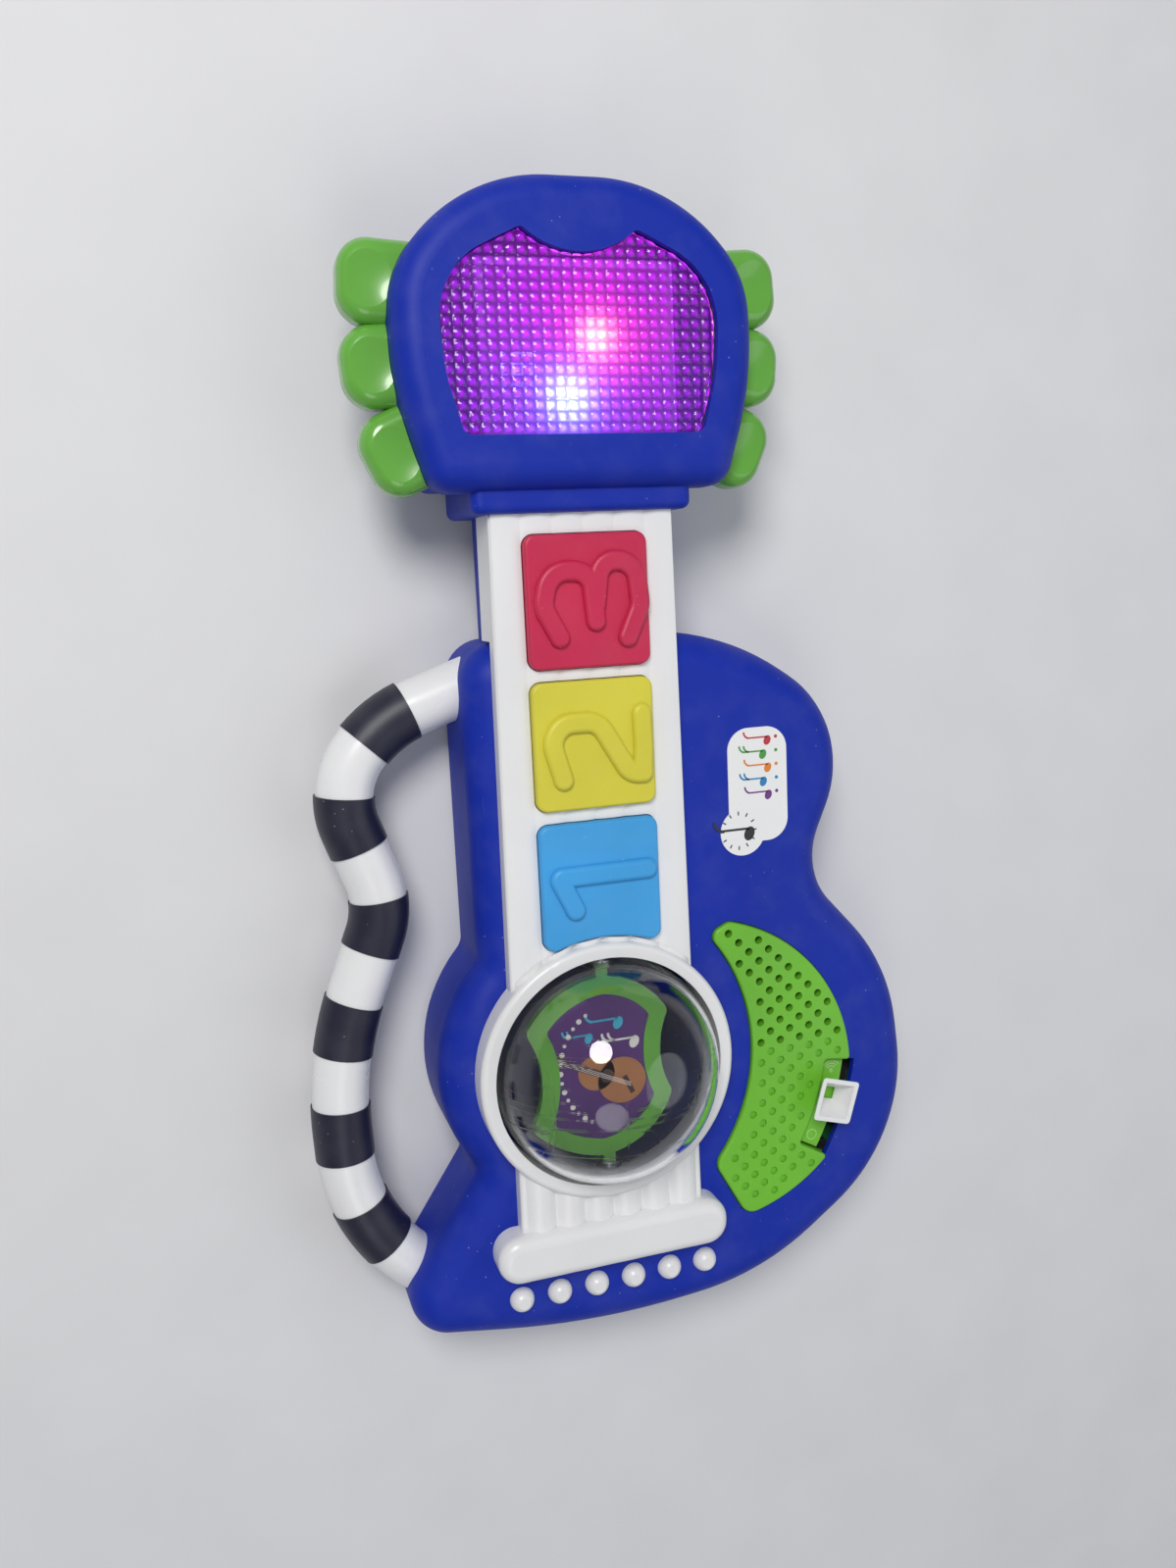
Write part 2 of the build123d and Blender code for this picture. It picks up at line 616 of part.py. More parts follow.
def flutes(low, high, top, rise):
    """Row of long round-topped ridges between two heights along the neck."""
    radius = (FLUTE_PITCH ** 2 / 4 + rise ** 2) / (2 * rise)
    bar = Rot(90, 0, 0) * Cylinder(radius, high - low)
    middle = (FLUTE_COUNT - 1) / 2
    bars = [Pos(FLUTE_PITCH * (i - middle), (low + high) / 2, top - radius) * bar
            for i in range(FLUTE_COUNT)]
    joined = bars[0].fuse(*bars[1:])
    return joined & slab(neck_face(0.5, low, high), top - rise - 0.4, top + 1)


def neck_fascia():
    """White face of the neck with the ring round the ball and the bridge."""
    plate = slab(neck_face(0), BODY_THICK, NECK_FACE_Z - FLUTE_RISE)
    plate = fillet(plate.edges().group_by(Axis.Z)[-1], 1.2)
    plate += flutes(0.0, NECK_END_Y, NECK_FACE_Z, FLUTE_RISE)
    string_top = NECK_FACE_Z + STRING_LIFT
    plate += flutes(PLATE_LOW_Y, 0.0, string_top, STRING_RISE)
    past_ring = slab(Circle(RING_OUT_R + STRING_PAST_RING), BODY_THICK, RING_TOP_Z)
    plate += flutes(0.0, RING_OUT_R + STRING_PAST_RING, string_top, STRING_RISE) & past_ring
    skirt = slab(neck_face(0, BODY_END_Y + FIT), SKIRT_FREE_Z, BODY_THICK)
    plate += skirt
    hollow = slab(neck_face(SKIRT_WALL, KEY_SPANS[0][0] - 6.0), SKIRT_FREE_Z - 1, PLATE_UNDER_Z)
    hollow -= slab(Circle(RING_OUT_R + 1.0), 0, NECK_FACE_Z)
    plate -= hollow
    ring = rounded_slab(Circle(RING_OUT_R), BODY_THICK, RING_TOP_Z, RING_ROUND, 0)
    fascia = plate + ring + bridge_solid()
    for side in (-1, 1):
        fascia += pin_block(side)
    fascia -= slab(Circle(RING_IN_R), 0, RING_TOP_Z + 1)
    for side in (-1, 1):
        fascia -= ball_pin(side)
    for index in range(len(KEY_SPANS)):
        fascia -= slab(key_face(index, FIT), BODY_THICK, RING_TOP_Z + 1)
    low = block(-26, 26, PLATE_LOW_Y + 3.0, -RING_OUT_R - 1.5, BODY_THICK - 1, PLATE_UNDER_Z)
    return fascia - low


def peg_places():
    """X of each string peg."""
    return [PEG_X + PEG_PITCH * (i - (PEG_COUNT - 1) / 2) for i in range(PEG_COUNT)]


def string_pegs():
    """Row of round-headed pegs pressed into the front shell."""
    pegs = []
    for x in peg_places():
        head = Pos(x, PEG_Y, BODY_THICK) * Sphere(PEG_R)
        head &= block(x - 9, x + 9, PEG_Y - 9, PEG_Y + 9, BODY_THICK, BODY_THICK + PEG_RISE)
        pegs.append(head + post(x, PEG_Y, BODY_THICK - PEG_STEM_LENGTH, BODY_THICK + 1,
                                PEG_STEM_R))
    return Compound(pegs)


def badge():
    """Rounded sticker on the upper bout."""
    face = Pos(55.0, 82.0) * RectangleRounded(20.0, 36.0, 7.0)
    face += Pos(49.5, 67.5) * Circle(7.5)
    return slab(face, BODY_THICK, BODY_THICK + BADGE_THICK)


# ------------------------------------------------------------------ ball
def ball_pin(side):
    """Pin on which the ball rolls."""
    low = BALL_R - PIN_IN
    high = RING_IN_R + PIN_OUT
    middle = side * (low + high) / 2
    return Pos(0, middle, BALL_Z) * (Rot(90, 0, 0) * Cylinder(PIN_R, high - low))


def ball_half(side):
    """One clear half of the ball; both halves close on the pins' axis plane."""
    centre = Pos(0, 0, BALL_Z)
    shell = Sphere(BALL_R) - Sphere(BALL_R - BALL_WALL)
    for end in (-1, 1):
        reach = BALL_R - BALL_WALL / 2
        boss = Pos(0, end * (reach - 2.0), 0) * (Rot(90, 0, 0) * Cylinder(PIN_R + 1.7, 4.0))
        shell += boss & Sphere(BALL_R)
    bore = Rot(90, 0, 0) * Cylinder(PIN_R + PIN_PLAY, 3 * BALL_R)
    inner = Rot(90, 0, 0) * Cylinder(PIN_R + 3.0, 2 * (BALL_R - 3.9))
    shell -= bore
    shell -= inner & Sphere(BALL_R - BALL_WALL)
    half = Pos(0, 0, side * BALL_R) * Box(3 * BALL_R, 3 * BALL_R, 2 * BALL_R)
    return centre * (shell & half)


def paddle_face(inset=0.0):
    """Shield outline with bulging ends and hollow sides, drawn in by an inset."""
    c = PADDLE_CORNERS
    edges = [
        ThreePointArc(c[0], (-13.4, 24.6), c[1]).edge(),
        ThreePointArc(c[1], (11.8, 24.6), c[2]).edge(),
        ThreePointArc(c[2], c[3], c[4]).edge(),
        ThreePointArc(c[4], (12.4, -24.0), c[5]).edge(),
        ThreePointArc(c[5], (-14.0, -25.2), c[6]).edge(),
        ThreePointArc(c[6], c[7], c[0]).edge(),
    ]
    face = make_face(edges)
    if inset:
        face = grow(face, -inset)
    tips = [v for v in face.vertices() if abs(v.X) > 12 and abs(v.Y) > 6]
    return fillet(tips, PADDLE_TIP_R if inset == 0 else PADDLE_TIP_R / 2)


def paddle_frame():
    """Green frame with the two stubs that the ball halves clamp."""
    low = BALL_Z - PADDLE_THICK / 2
    high = BALL_Z + PADDLE_THICK / 2
    frame = slab(paddle_face(), low, high)
    frame -= slab(paddle_face(PADDLE_BORDER), low - 1, high + 1)
    reach = BALL_R - PIN_IN - 0.35
    for end in (-1, 1):
        stub = block(-1.8, 1.8, min(end * 24.5, end * reach), max(end * 24.5, end * reach),
                     low, high)
        frame += stub
    return frame


def paddle_panel():
    """Picture panel held inside the frame."""
    low = BALL_Z - PADDLE_THICK / 2 + PANEL_SINK
    high = BALL_Z + PADDLE_THICK / 2 - PANEL_SINK
    return slab(paddle_face(PADDLE_BORDER), low, high)


# ------------------------------------------------------------------ keys
def stroke_face(stroke):
    """Round-ended band along one stroke of a numeral."""
    points = [(x, y) for x, y, radius in stroke]
    radii = [radius for x, y, radius in stroke[1:-1]]
    line = Wire(FilletPolyline(*points, radius=radii).edges())
    return Face(line.offset_2d(STROKE_WIDTH / 2, side=Side.BOTH))


def numeral_solid(index):
    """Raised numeral of one key, sunk a little into the key's face."""
    low, high = KEY_SPANS[index]
    place = Pos(0, (low + high) / 2)
    strokes = [rounded_slab(place * stroke_face(stroke), KEY_TOP_Z - STROKE_SINK,
                            KEY_TOP_Z + STROKE_RISE, STROKE_ROUND, 0)
               for stroke in NUMERALS[index]]
    first, *others = strokes
    return first.fuse(*others) if others else first


def key_cap(index):
    """Hollow key with its flange, its plunger and its raised numeral."""
    face = key_face(index)
    flange_low = FLANGE_TOP_Z - KEY_FLANGE_THICK
    cap = slab(face, flange_low, KEY_TOP_Z)
    cap = fillet(cap.edges().group_by(Axis.Z)[-1], KEY_EDGE_ROUND)
    flange = key_face(index, KEY_FLANGE)
    if index == 0:
        flange -= Circle(RING_OUT_R + RING_TO_KEY - FIT)
    cap += slab(flange, flange_low, FLANGE_TOP_Z)
    cap -= slab(key_face(index, -KEY_WALL), flange_low - 1, KEY_TOP_Z - KEY_WALL)
    low, high = KEY_SPANS[index]
    cap += post(0, (low + high) / 2, PLUNGER_END_Z, KEY_TOP_Z - KEY_WALL / 2, PLUNGER_R)
    return cap + numeral_solid(index)


def key_dome(index):
    """Rubber dome under a key."""
    low, high = KEY_SPANS[index]
    outer = Cone(DOME_R, DOME_TOP_R, DOME_HEIGHT)
    inner = Cone(DOME_R - DOME_WALL, DOME_TOP_R - DOME_WALL, DOME_HEIGHT - DOME_WALL)
    hollow = Pos(0, 0, -DOME_WALL / 2) * inner
    return Pos(0, (low + high) / 2, KEY_BOARD_TOP + DOME_HEIGHT / 2) * (outer - hollow)


def key_board():
    """Circuit board along the neck, under the keys."""
    half = SPINE_HALF - WALL - 1.0
    return block(-half, half, KEY_SPANS[0][0] + 2.0, KEY_SPANS[2][1] + 1.0,
                 KEY_BOARD_Z, KEY_BOARD_TOP)


# ------------------------------------------------------------------ handle
def handle_tube():
    """White handle loop with its ends in the body."""
    path = handle_path()
    return tube_along(path, HANDLE_R) - tube_along(path, HANDLE_R - HANDLE_WALL)


def stripe_marks():
    """Share of the path where each stripe of the bare handle starts and ends."""
    length = handle_path().length
    start = HANDLE_SOCKET / length
    free = 1 - 2 * start
    return [start + free * i / STRIPE_COUNT for i in range(STRIPE_COUNT + 1)]


def grip_bands():
    """Dark soft bands moulded over the handle, every second stripe."""
    path = handle_path()
    marks = stripe_marks()
    bands = []
    for i in range(1, STRIPE_COUNT, 2):
        piece = path.trim(marks[i], marks[i + 1])
        sleeve = tube_along(piece, HANDLE_R + BAND_THICK) - tube_along(piece, HANDLE_R)
        bands.append(sleeve)
    return Compound(bands)


# ------------------------------------------------------------------ head contents
def light_window():
    """Clear window plate with its seating flange."""
    face = window_face()
    lens = slab(grow(face, -0.05), LENS_TOP_Z - LENS_THICK, LENS_TOP_Z)
    under = HEAD_FACE_Z - WALL
    flange = slab(grow(face, LENS_FLANGE), LENS_TOP_Z - LENS_THICK, min(under, LENS_TOP_Z))
    return lens + flange


def light_box():
    """White box that gathers the light behind the window."""
    low = HEAD_BASE_Y + BOX_LOW_Y
    high = HEAD_BASE_Y + BOX_HIGH_Y
    top = LENS_TOP_Z - LENS_THICK
    box = block(-BOX_HALF, BOX_HALF, low, high, BOX_BACK_Z, top)
    box -= block(-BOX_HALF + BOX_WALL, BOX_HALF - BOX_WALL, low + BOX_WALL, high - BOX_WALL,
                 LED_BOARD_Z, top + 1)
    return box


def led_board():
    """Small circuit board that carries the lamps."""
    low = HEAD_BASE_Y + BOX_LOW_Y + BOX_WALL + FIT
    high = HEAD_BASE_Y + BOX_HIGH_Y - BOX_WALL - FIT
    half = BOX_HALF - BOX_WALL - FIT
    return block(-half, half, low, high, LED_BOARD_Z, LED_BOARD_Z + BOARD_THICK)


def lamps():
    """Round-headed lamps standing on their board."""
    base = LED_BOARD_Z + BOARD_THICK
    pieces = []
    for x, y in head_points(LED_SPOTS):
        lamp = post(x, y, base, base + LED_HEIGHT - LED_R, LED_R)
        lamp += Pos(x, y, base + LED_HEIGHT - LED_R) * Sphere(LED_R)
        pieces.append(lamp + post(x, y, base, base + 1.0, LED_FLANGE_R))
    return pieces


# ------------------------------------------------------------------ tuners
def tuner_lobes():
    """Three pillow-shaped lobes of the right tuner, each with a shallow hollow."""
    low = TUNER_Z - TUNER_THICK / 2
    high = TUNER_Z + TUNER_THICK / 2
    lobes = []
    for x, y, width, height, tilt in TUNER_LOBES:
        place = Pos(x, y + HEAD_BASE_Y) * Rot(0, 0, tilt)
        outline = RectangleRounded(width, height, TUNER_CORNER)
        lobe = rounded_slab(place * outline, low, high, TUNER_ROUND, TUNER_ROUND)
        outward = place * Pos(width / 4, 0, high + TUNER_DISH_R - TUNER_DISH)
        lobes.append(lobe - outward * Sphere(TUNER_DISH_R))
    return lobes


def tuner_tongue(gap):
    """Tongue that slides into the slot in the head tray."""
    face = grow(head_face(), -(HEAD_TRAY_INSET + WALL + TONGUE_REACH - 4.0))
    band = grow(head_face(), 1.0) - face
    y0 = HEAD_BASE_Y + 18.0 - gap
    y1 = HEAD_BASE_Y + 58.0 + gap
    z0 = TUNER_Z - TONGUE_THICK / 2 - gap
    z1 = TUNER_Z + TONGUE_THICK / 2 + gap
    return slab(band, z0, z1) & block(20, 80, y0, y1, z0, z1)


def tuner_tongues(gap):
    """Both tongues, grown by a gap."""
    right = tuner_tongue(gap)
    return [right, mirror(right, about=Plane.YZ)]


def tuner(side):
    """Three-lobed green tuner piece on one side of the head."""
    first, *others = tuner_lobes()
    solid = first.fuse(*others)
    solid -= slab(grow(head_face(), 0.1), HEAD_SPLIT_Z - 0.1, 60)
    solid -= slab(grow(head_face(), -HEAD_TRAY_INSET + 0.1), 0, 60)
    solid += tuner_tongue(0.0)
    return solid if side > 0 else mirror(solid, about=Plane.YZ)


# ------------------------------------------------------------------ speaker and switch
def hole_places():
    """Staggered square grid of grille holes inside the crescent."""
    field = grow(grille_face(), -HOLE_EDGE)
    places = []
    for i in range(-6, 16):
        for j in range(-4, 32):
            x = HOLE_START[0] + i * HOLE_HALF_PITCH
            y = HOLE_START[1] - j * HOLE_HALF_PITCH
            if (i + j) % 2 == 0 and field.is_inside(Vector(x, y, 0)):
                places.append((x, y))
    return places


def speaker_grille():
    """Green grille: open holes over the speaker, blind dimples below it."""
    face = grille_face()
    grille = slab(face, BODY_INNER_Z - GRILLE_FLANGE_THICK, GRILLE_TOP_Z)
    grille = fillet(grille.edges().group_by(Axis.Z)[-1], 0.9)
    flange = slab(grow(face, GRILLE_FLANGE), BODY_INNER_Z - GRILLE_FLANGE_THICK, BODY_INNER_Z)
    flange -= slab(sector_face(SWITCH_IN_R, SLOT_OUT_R + 4, SWITCH_FROM, SWITCH_TO), 0,
                   BODY_THICK)
    flange -= slab(Circle(RING_IN_R + WELL_WALL + 0.2), 0, BODY_THICK)
    step = sector_face(SWITCH_IN_R - 1.0, SWITCH_OUT_R, SWITCH_FROM + SWITCH_SIDE_GAP,
                       SWITCH_TO - SWITCH_SIDE_GAP)
    grille += flange + slab(step, BODY_INNER_Z - GRILLE_FLANGE_THICK, SWITCH_STEP_Z)
    cutters = []
    for x, y in hole_places():
        low = 0 if y > THROUGH_LIMIT_Y else GRILLE_TOP_Z - DIMPLE_DEPTH
        cutters.append(post(x, y, low, GRILLE_TOP_Z + 1, HOLE_R))
    return grille - cutters


def switch_knob():
    """Hollow square knob that slides along the slot."""
    base = Rectangle(KNOB_BASE, KNOB_BASE)
    flare = Rectangle(KNOB_FLARE_X, KNOB_FLARE_Y)
    lean = Pos(-KNOB_LEAN, 0, KNOB_TOP_Z)
    knob = loft([Pos(0, 0, KNOB_BASE_Z) * base, lean * flare])
    knob = fillet(knob.edges().filter_by(lambda e: abs(e.tangent_at(0.5).Z) > 0.5), 1.2)
    cup_low = Rectangle(KNOB_BASE - 2 * KNOB_WALL, KNOB_BASE - 2 * KNOB_WALL)
    cup_high = Rectangle(KNOB_FLARE_X - 2 * KNOB_WALL, KNOB_FLARE_Y - 2 * KNOB_WALL)
    knob -= loft([Pos(0, 0, KNOB_BASE_Z) * cup_low, lean * cup_high])
    stem_x = KNOB_STEM_R - KNOB_R
    arm = block(KNOB_BASE / 2 - KNOB_WALL / 2, stem_x + KNOB_STEM / 2, -KNOB_STEM_WIDE / 2, KNOB_STEM_WIDE / 2,
                KNOB_BASE_Z, KNOB_BASE_Z + 1.6)
    stem = block(stem_x - KNOB_STEM / 2, stem_x + KNOB_STEM / 2, -KNOB_STEM_WIDE / 2,
                 KNOB_STEM_WIDE / 2, MAIN_BOARD_Z + BOARD_THICK + 4.6, KNOB_BASE_Z + 1.6)
    solid = knob + arm + stem
    return Rot(0, 0, SWITCH_REST) * (Pos(KNOB_R, 0, 0) * solid)


def slide_switch():
    """Electrical switch body under the knob's stem."""
    base = MAIN_BOARD_Z + BOARD_THICK
    body = block(-4.0, 4.0, -13.0, 13.0, base, base + 4.0)
    body = Pos(KNOB_STEM_R, 0, 0) * body
    return Rot(0, 0, SWITCH_REST) * body


def speaker_frame():
    """Pressed basket of the speaker."""
    rim = post(SPEAKER_X, SPEAKER_Y, SPEAKER_TOP_Z - 1.2, SPEAKER_TOP_Z, SPEAKER_R)
    basket = Pos(SPEAKER_X, SPEAKER_Y, SPEAKER_TOP_Z - 1.2 - 3.0) * Cone(MAGNET_R + 1.0,
                                                                      SPEAKER_R - 1.5, 6.0)
    inner = Pos(SPEAKER_X, SPEAKER_Y, SPEAKER_TOP_Z - 1.2 - 2.5) * Cone(MAGNET_R - 0.2,
                                                                     SPEAKER_R - 2.7, 7.0)
    opening = post(SPEAKER_X, SPEAKER_Y, SPEAKER_TOP_Z - 2, SPEAKER_TOP_Z + 1, CONE_R + 0.4)
    return rim + basket - inner - opening


def speaker_cone():
    """Paper cone with its dust cap."""
    outer = Cone(4.5, CONE_R, 5.0)
    inner = Pos(0, 0, 0.6) * Cone(4.5, CONE_R, 5.0)
    cap = Pos(0, 0, -2.0) * (Sphere(4.8) & Pos(0, 0, 5.0) * Box(12, 12, 10))
    cone = outer - inner + cap
    return Pos(SPEAKER_X, SPEAKER_Y, SPEAKER_TOP_Z - 3.4) * cone


def speaker_magnet():
    """Magnet can behind the basket."""
    top = SPEAKER_TOP_Z - 1.2 - 6.0
    return post(SPEAKER_X, SPEAKER_Y, SPEAKER_TOP_Z - SPEAKER_DEPTH, top, MAGNET_R)


# ------------------------------------------------------------------ boards and batteries
def main_board():
    """Main circuit board beside the ball."""
    x, y, width, depth = MAIN_BOARD
    board = Pos(x, y) * RectangleRounded(width, depth, 2.0)
    return slab(board, MAIN_BOARD_Z, MAIN_BOARD_Z + BOARD_THICK)


def board_chips():
    """Sealed chip, capacitors and crystal on the main board."""
    x, y, width, depth = MAIN_BOARD
    top = MAIN_BOARD_Z + BOARD_THICK
    blob = Pos(x - 10, y + 4, top) * Sphere(6.0)
    blob &= block(x - 20, x, y - 6, y + 14, top, top + 1.8)
    can_a = post(x - 14, y - 12, top, top + 6.0, 2.5)
    can_b = post(x - 4, y - 12, top, top + 5.0, 2.0)
    crystal = block(x + 3, x + 10, y - 14, y - 11, top, top + 3.0)
    return Compound([blob, can_a, can_b, crystal])


def cell_offsets():
    """X of each cell."""
    step = CELL_R + CELL_GAP / 2
    return [CELL_X - step, CELL_X + step]


def batteries():
    """Two round cells side by side, pointing opposite ways."""
    cells = []
    for x, way in zip(cell_offsets(), (1, -1)):
        can = Rot(90, 0, 0) * Cylinder(CELL_R, CELL_LENGTH - 2 * CELL_SETBACK)
        reach = CELL_SETBACK + NUB_PROUD
        nub_y = way * (CELL_LENGTH / 2 + NUB_PROUD - reach / 2 - 0.1)
        nub = Pos(0, nub_y, 0) * (Rot(90, 0, 0) * Cylinder(NUB_R, reach + 0.2))
        cells.append(Pos(x, CELL_Y, CELL_Z) * (can + nub))
    return Compound(cells)


def battery_contacts():
    """Bent metal plates and coil springs at the ends of the bay."""
    plates = []
    for end in (-1, 1):
        wall = BAY_HALF_Y
        face = wall - CONTACT_PLATE
        for x, way in zip(cell_offsets(), (1, -1)):
            tip = CELL_LENGTH / 2 + NUB_PROUD if way == end else CELL_LENGTH / 2 - CELL_SETBACK
            radius = 2.0 if way == end else 3.4
            sides = sorted((end * face, end * wall))
            plate = block(x - 5, x + 5, CELL_Y + sides[0], CELL_Y + sides[1],
                          CELL_Z - 5, CELL_Z + 5)
            coil = Rot(90, 0, 0) * Cylinder(radius, face - tip)
            plates.append(plate + Pos(x, CELL_Y + end * (face + tip) / 2, CELL_Z) * coil)
    return Compound(plates)


def battery_door():
    """Door flush with the rear of the case, with a screw tab and finger ribs."""
    door = slab(door_face() + tab_face(), 0, DOOR_THICK)
    for i in range(5):
        y = CELL_Y - BAY_HALF_Y + 6.0 + 2.6 * i
        door -= block(CELL_X - 7, CELL_X + 7, y, y + 1.2, -1, 0.6)
    door -= post(CELL_X, DOOR_SCREW_Y, -1, DOOR_THICK + 1, SCREW_R + 0.1)
    return door - post(CELL_X, DOOR_SCREW_Y, -1, DOOR_HEAD_SINK, SCREW_HEAD_R)


def door_screw():
    """Small screw that holds the battery door."""
    return screw(CELL_X, DOOR_SCREW_Y, DOOR_HEAD_SINK - 0.9, DOOR_SCREW_LENGTH, 0.9)


def screw(x, y, low, length, head_height=SCREW_HEAD):
    """Pan-head screw with a cross recess, driven from behind."""
    head = post(x, y, low, low + head_height, SCREW_HEAD_R - 0.1)
    shank = post(x, y, low + head_height, low + length, SCREW_R)
    recess = block(x - 1.6, x + 1.6, y - 0.4, y + 0.4, low - 1, low + RECESS_DEPTH)
    recess += block(x - 0.4, x + 0.4, y - 1.6, y + 1.6, low - 1, low + RECESS_DEPTH)
    return head + shank - recess


def case_screws():
    """Screws that hold the shells and the bezel together."""
    screws = [screw(x, y, SCREW_SINK, SCREW_LENGTH) for x, y in CASE_SCREWS]
    length = HEAD_SPLIT_Z - HEAD_BACK_Z + HEAD_SCREW_BITE - SCREW_SINK
    screws += [screw(x, y, HEAD_BACK_Z + SCREW_SINK, length)
               for x, y in head_points(HEAD_SCREWS)]
    return Compound(screws)


# ------------------------------------------------------------------ write the pieces
def pieces():
    """Every node and its solid."""
    nodes = {
        "rear_shell": rear_shell(),
        "front_shell": front_shell(),
        "head_bezel": head_bezel(),
        "neck_fascia": neck_fascia(),
        "string_pegs": string_pegs(),
        "badge_label": badge(),
        "ball_front": ball_half(1),
        "ball_rear": ball_half(-1),
        "ball_pins": Compound([ball_pin(1), ball_pin(-1)]),
        "paddle_frame": paddle_frame(),
        "paddle_panel": paddle_panel(),
        "key_board": key_board(),
        "handle_tube": handle_tube(),
        "grip_bands": grip_bands(),
        "light_window": light_window(),
        "light_box": light_box(),
        "led_board": led_board(),
        "tuner_left": tuner(-1),
        "tuner_right": tuner(1),
        "speaker_grille": speaker_grille(),
        "speaker_frame": speaker_frame(),
        "speaker_cone": speaker_cone(),
        "speaker_magnet": speaker_magnet(),
        "switch_knob": switch_knob(),
        "slide_switch": slide_switch(),
        "main_board": main_board(),
        "board_chips": board_chips(),
        "batteries": batteries(),
        "battery_contacts": battery_contacts(),
        "battery_door": battery_door(),
        "door_screw": door_screw(),
        "case_screws": case_screws(),
    }
    for name, lamp in zip(("lamp_red", "lamp_white", "lamp_blue"), lamps()):
        nodes[name] = lamp
    for index, colour in enumerate(("blue", "yellow", "red")):
        nodes[f"key_{index + 1}_{colour}"] = key_cap(index)
        nodes[f"key_{index + 1}_dome"] = key_dome(index)
    return nodes


os.makedirs("parts", exist_ok=True)
for name, solid in pieces().items():
    export_step(solid, f"parts/{name}.step")
    print(name, round(solid.volume, 1))
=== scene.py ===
"""Looks of the toy electric guitar: finishes, window, printed pictures, lamps and studio."""

from __future__ import annotations

import logging
import math
from dataclasses import dataclass, field
from enum import Enum

import bpy
import numpy as np
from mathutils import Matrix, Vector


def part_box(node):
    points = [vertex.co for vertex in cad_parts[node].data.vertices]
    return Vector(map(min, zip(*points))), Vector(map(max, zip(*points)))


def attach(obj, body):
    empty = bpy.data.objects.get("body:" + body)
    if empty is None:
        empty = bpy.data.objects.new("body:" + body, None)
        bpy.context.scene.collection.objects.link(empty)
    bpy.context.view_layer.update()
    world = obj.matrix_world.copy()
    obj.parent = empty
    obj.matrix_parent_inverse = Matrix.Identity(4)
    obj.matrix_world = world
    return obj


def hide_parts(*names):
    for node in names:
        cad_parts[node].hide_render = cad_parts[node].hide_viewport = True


MM = 0.001
LOG = logging.getLogger("toy_guitar")
DUST_COLOUR = (0.62, 0.62, 0.64)
GRAIN_DEPTH = 0.0001           # metres
COAT_ROUGHNESS = 0.08
SUBSURFACE_REACH = 0.002       # metres
SCRATCH_DEPTH = 0.00006        # metres
STYRENE_IOR = 1.46
INK_RISE = 0.06 * MM           # thickness of the badge's print
PICTURE_RISE = 0.10 * MM       # thickness of each layer of the ball's picture

Colour = tuple[float, float, float]
Point = tuple[float, float, float]
Point2 = tuple[float, float]

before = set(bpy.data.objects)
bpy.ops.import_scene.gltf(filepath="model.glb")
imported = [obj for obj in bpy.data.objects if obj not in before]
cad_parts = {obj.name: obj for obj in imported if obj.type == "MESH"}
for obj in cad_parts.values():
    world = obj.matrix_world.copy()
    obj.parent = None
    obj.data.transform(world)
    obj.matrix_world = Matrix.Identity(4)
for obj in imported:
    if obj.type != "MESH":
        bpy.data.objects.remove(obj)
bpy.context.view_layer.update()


# ------------------------------------------------------------------ mesh making
def mesh_object(name: str, points: np.ndarray, faces: np.ndarray, smooth: bool = True
                ) -> bpy.types.Object:
    """Puts points and four-sided faces into a new object at the origin.

    Args:
        name: Name of the piece.
        points: Rows of x, y and z in metres.
        faces: Rows of four point numbers, turning anticlockwise seen from outside.
        smooth: Whether the faces are shaded smooth.

    Returns:
        The new object, linked to the scene.
    """
    mesh = bpy.data.meshes.new(name)
    mesh.from_pydata(points.tolist(), [], faces.tolist())
    mesh.polygons.foreach_set("use_smooth", np.full(len(faces), smooth))
    mesh.update()
    piece = bpy.data.objects.new(name, mesh)
    bpy.context.scene.collection.objects.link(piece)
    return piece


def grid_faces(rows: int, columns: int) -> np.ndarray:
    """Faces of a grid of points: each joins a point to its neighbours in the next row and column.

    Args:
        rows: Number of rows of points.
        columns: Number of points in a row.

    Returns:
        Rows of four point numbers.
    """
    number = np.arange(rows * columns).reshape(rows, columns)
    corners = [number[:-1, :-1], number[:-1, 1:], number[1:, 1:], number[1:, :-1]]
    return np.stack([corner.ravel() for corner in corners], axis=1)


def slab_arrays(x: np.ndarray, y: np.ndarray, top: np.ndarray, low: np.ndarray
                ) -> tuple[np.ndarray, np.ndarray]:
    """Closed slab over a lattice: an upper and a lower sheet joined by a wall round their rim.

    Args:
        x: Lattice of x, rows running up +Y and columns along +X.
        y: Lattice of y.
        top: Height of the upper sheet at each lattice point.
        low: Height of the lower sheet at each lattice point.

    Returns:
        Points and faces.
    """
    rows, columns = x.shape
    upper = np.stack([x, y, top], axis=-1).reshape(-1, 3)
    lower = np.stack([x, y, low], axis=-1).reshape(-1, 3)
    sheet = grid_faces(rows, columns)
    number = np.arange(rows * columns).reshape(rows, columns)
    rim = np.concatenate([number[0, :-1], number[:-1, -1], number[-1, :0:-1], number[:0:-1, 0]])
    after = np.roll(rim, -1)
    count = rows * columns
    wall = np.stack([rim, rim + count, after + count, after], axis=1)
    faces = np.concatenate([sheet, sheet[:, ::-1] + count, wall])
    return np.concatenate([upper, lower]), faces


def polar(radius: float, degrees: float) -> Point2:
    """Point at an angle in degrees on a circle about the origin."""
    angle = math.radians(degrees)
    return radius * math.cos(angle), radius * math.sin(angle)


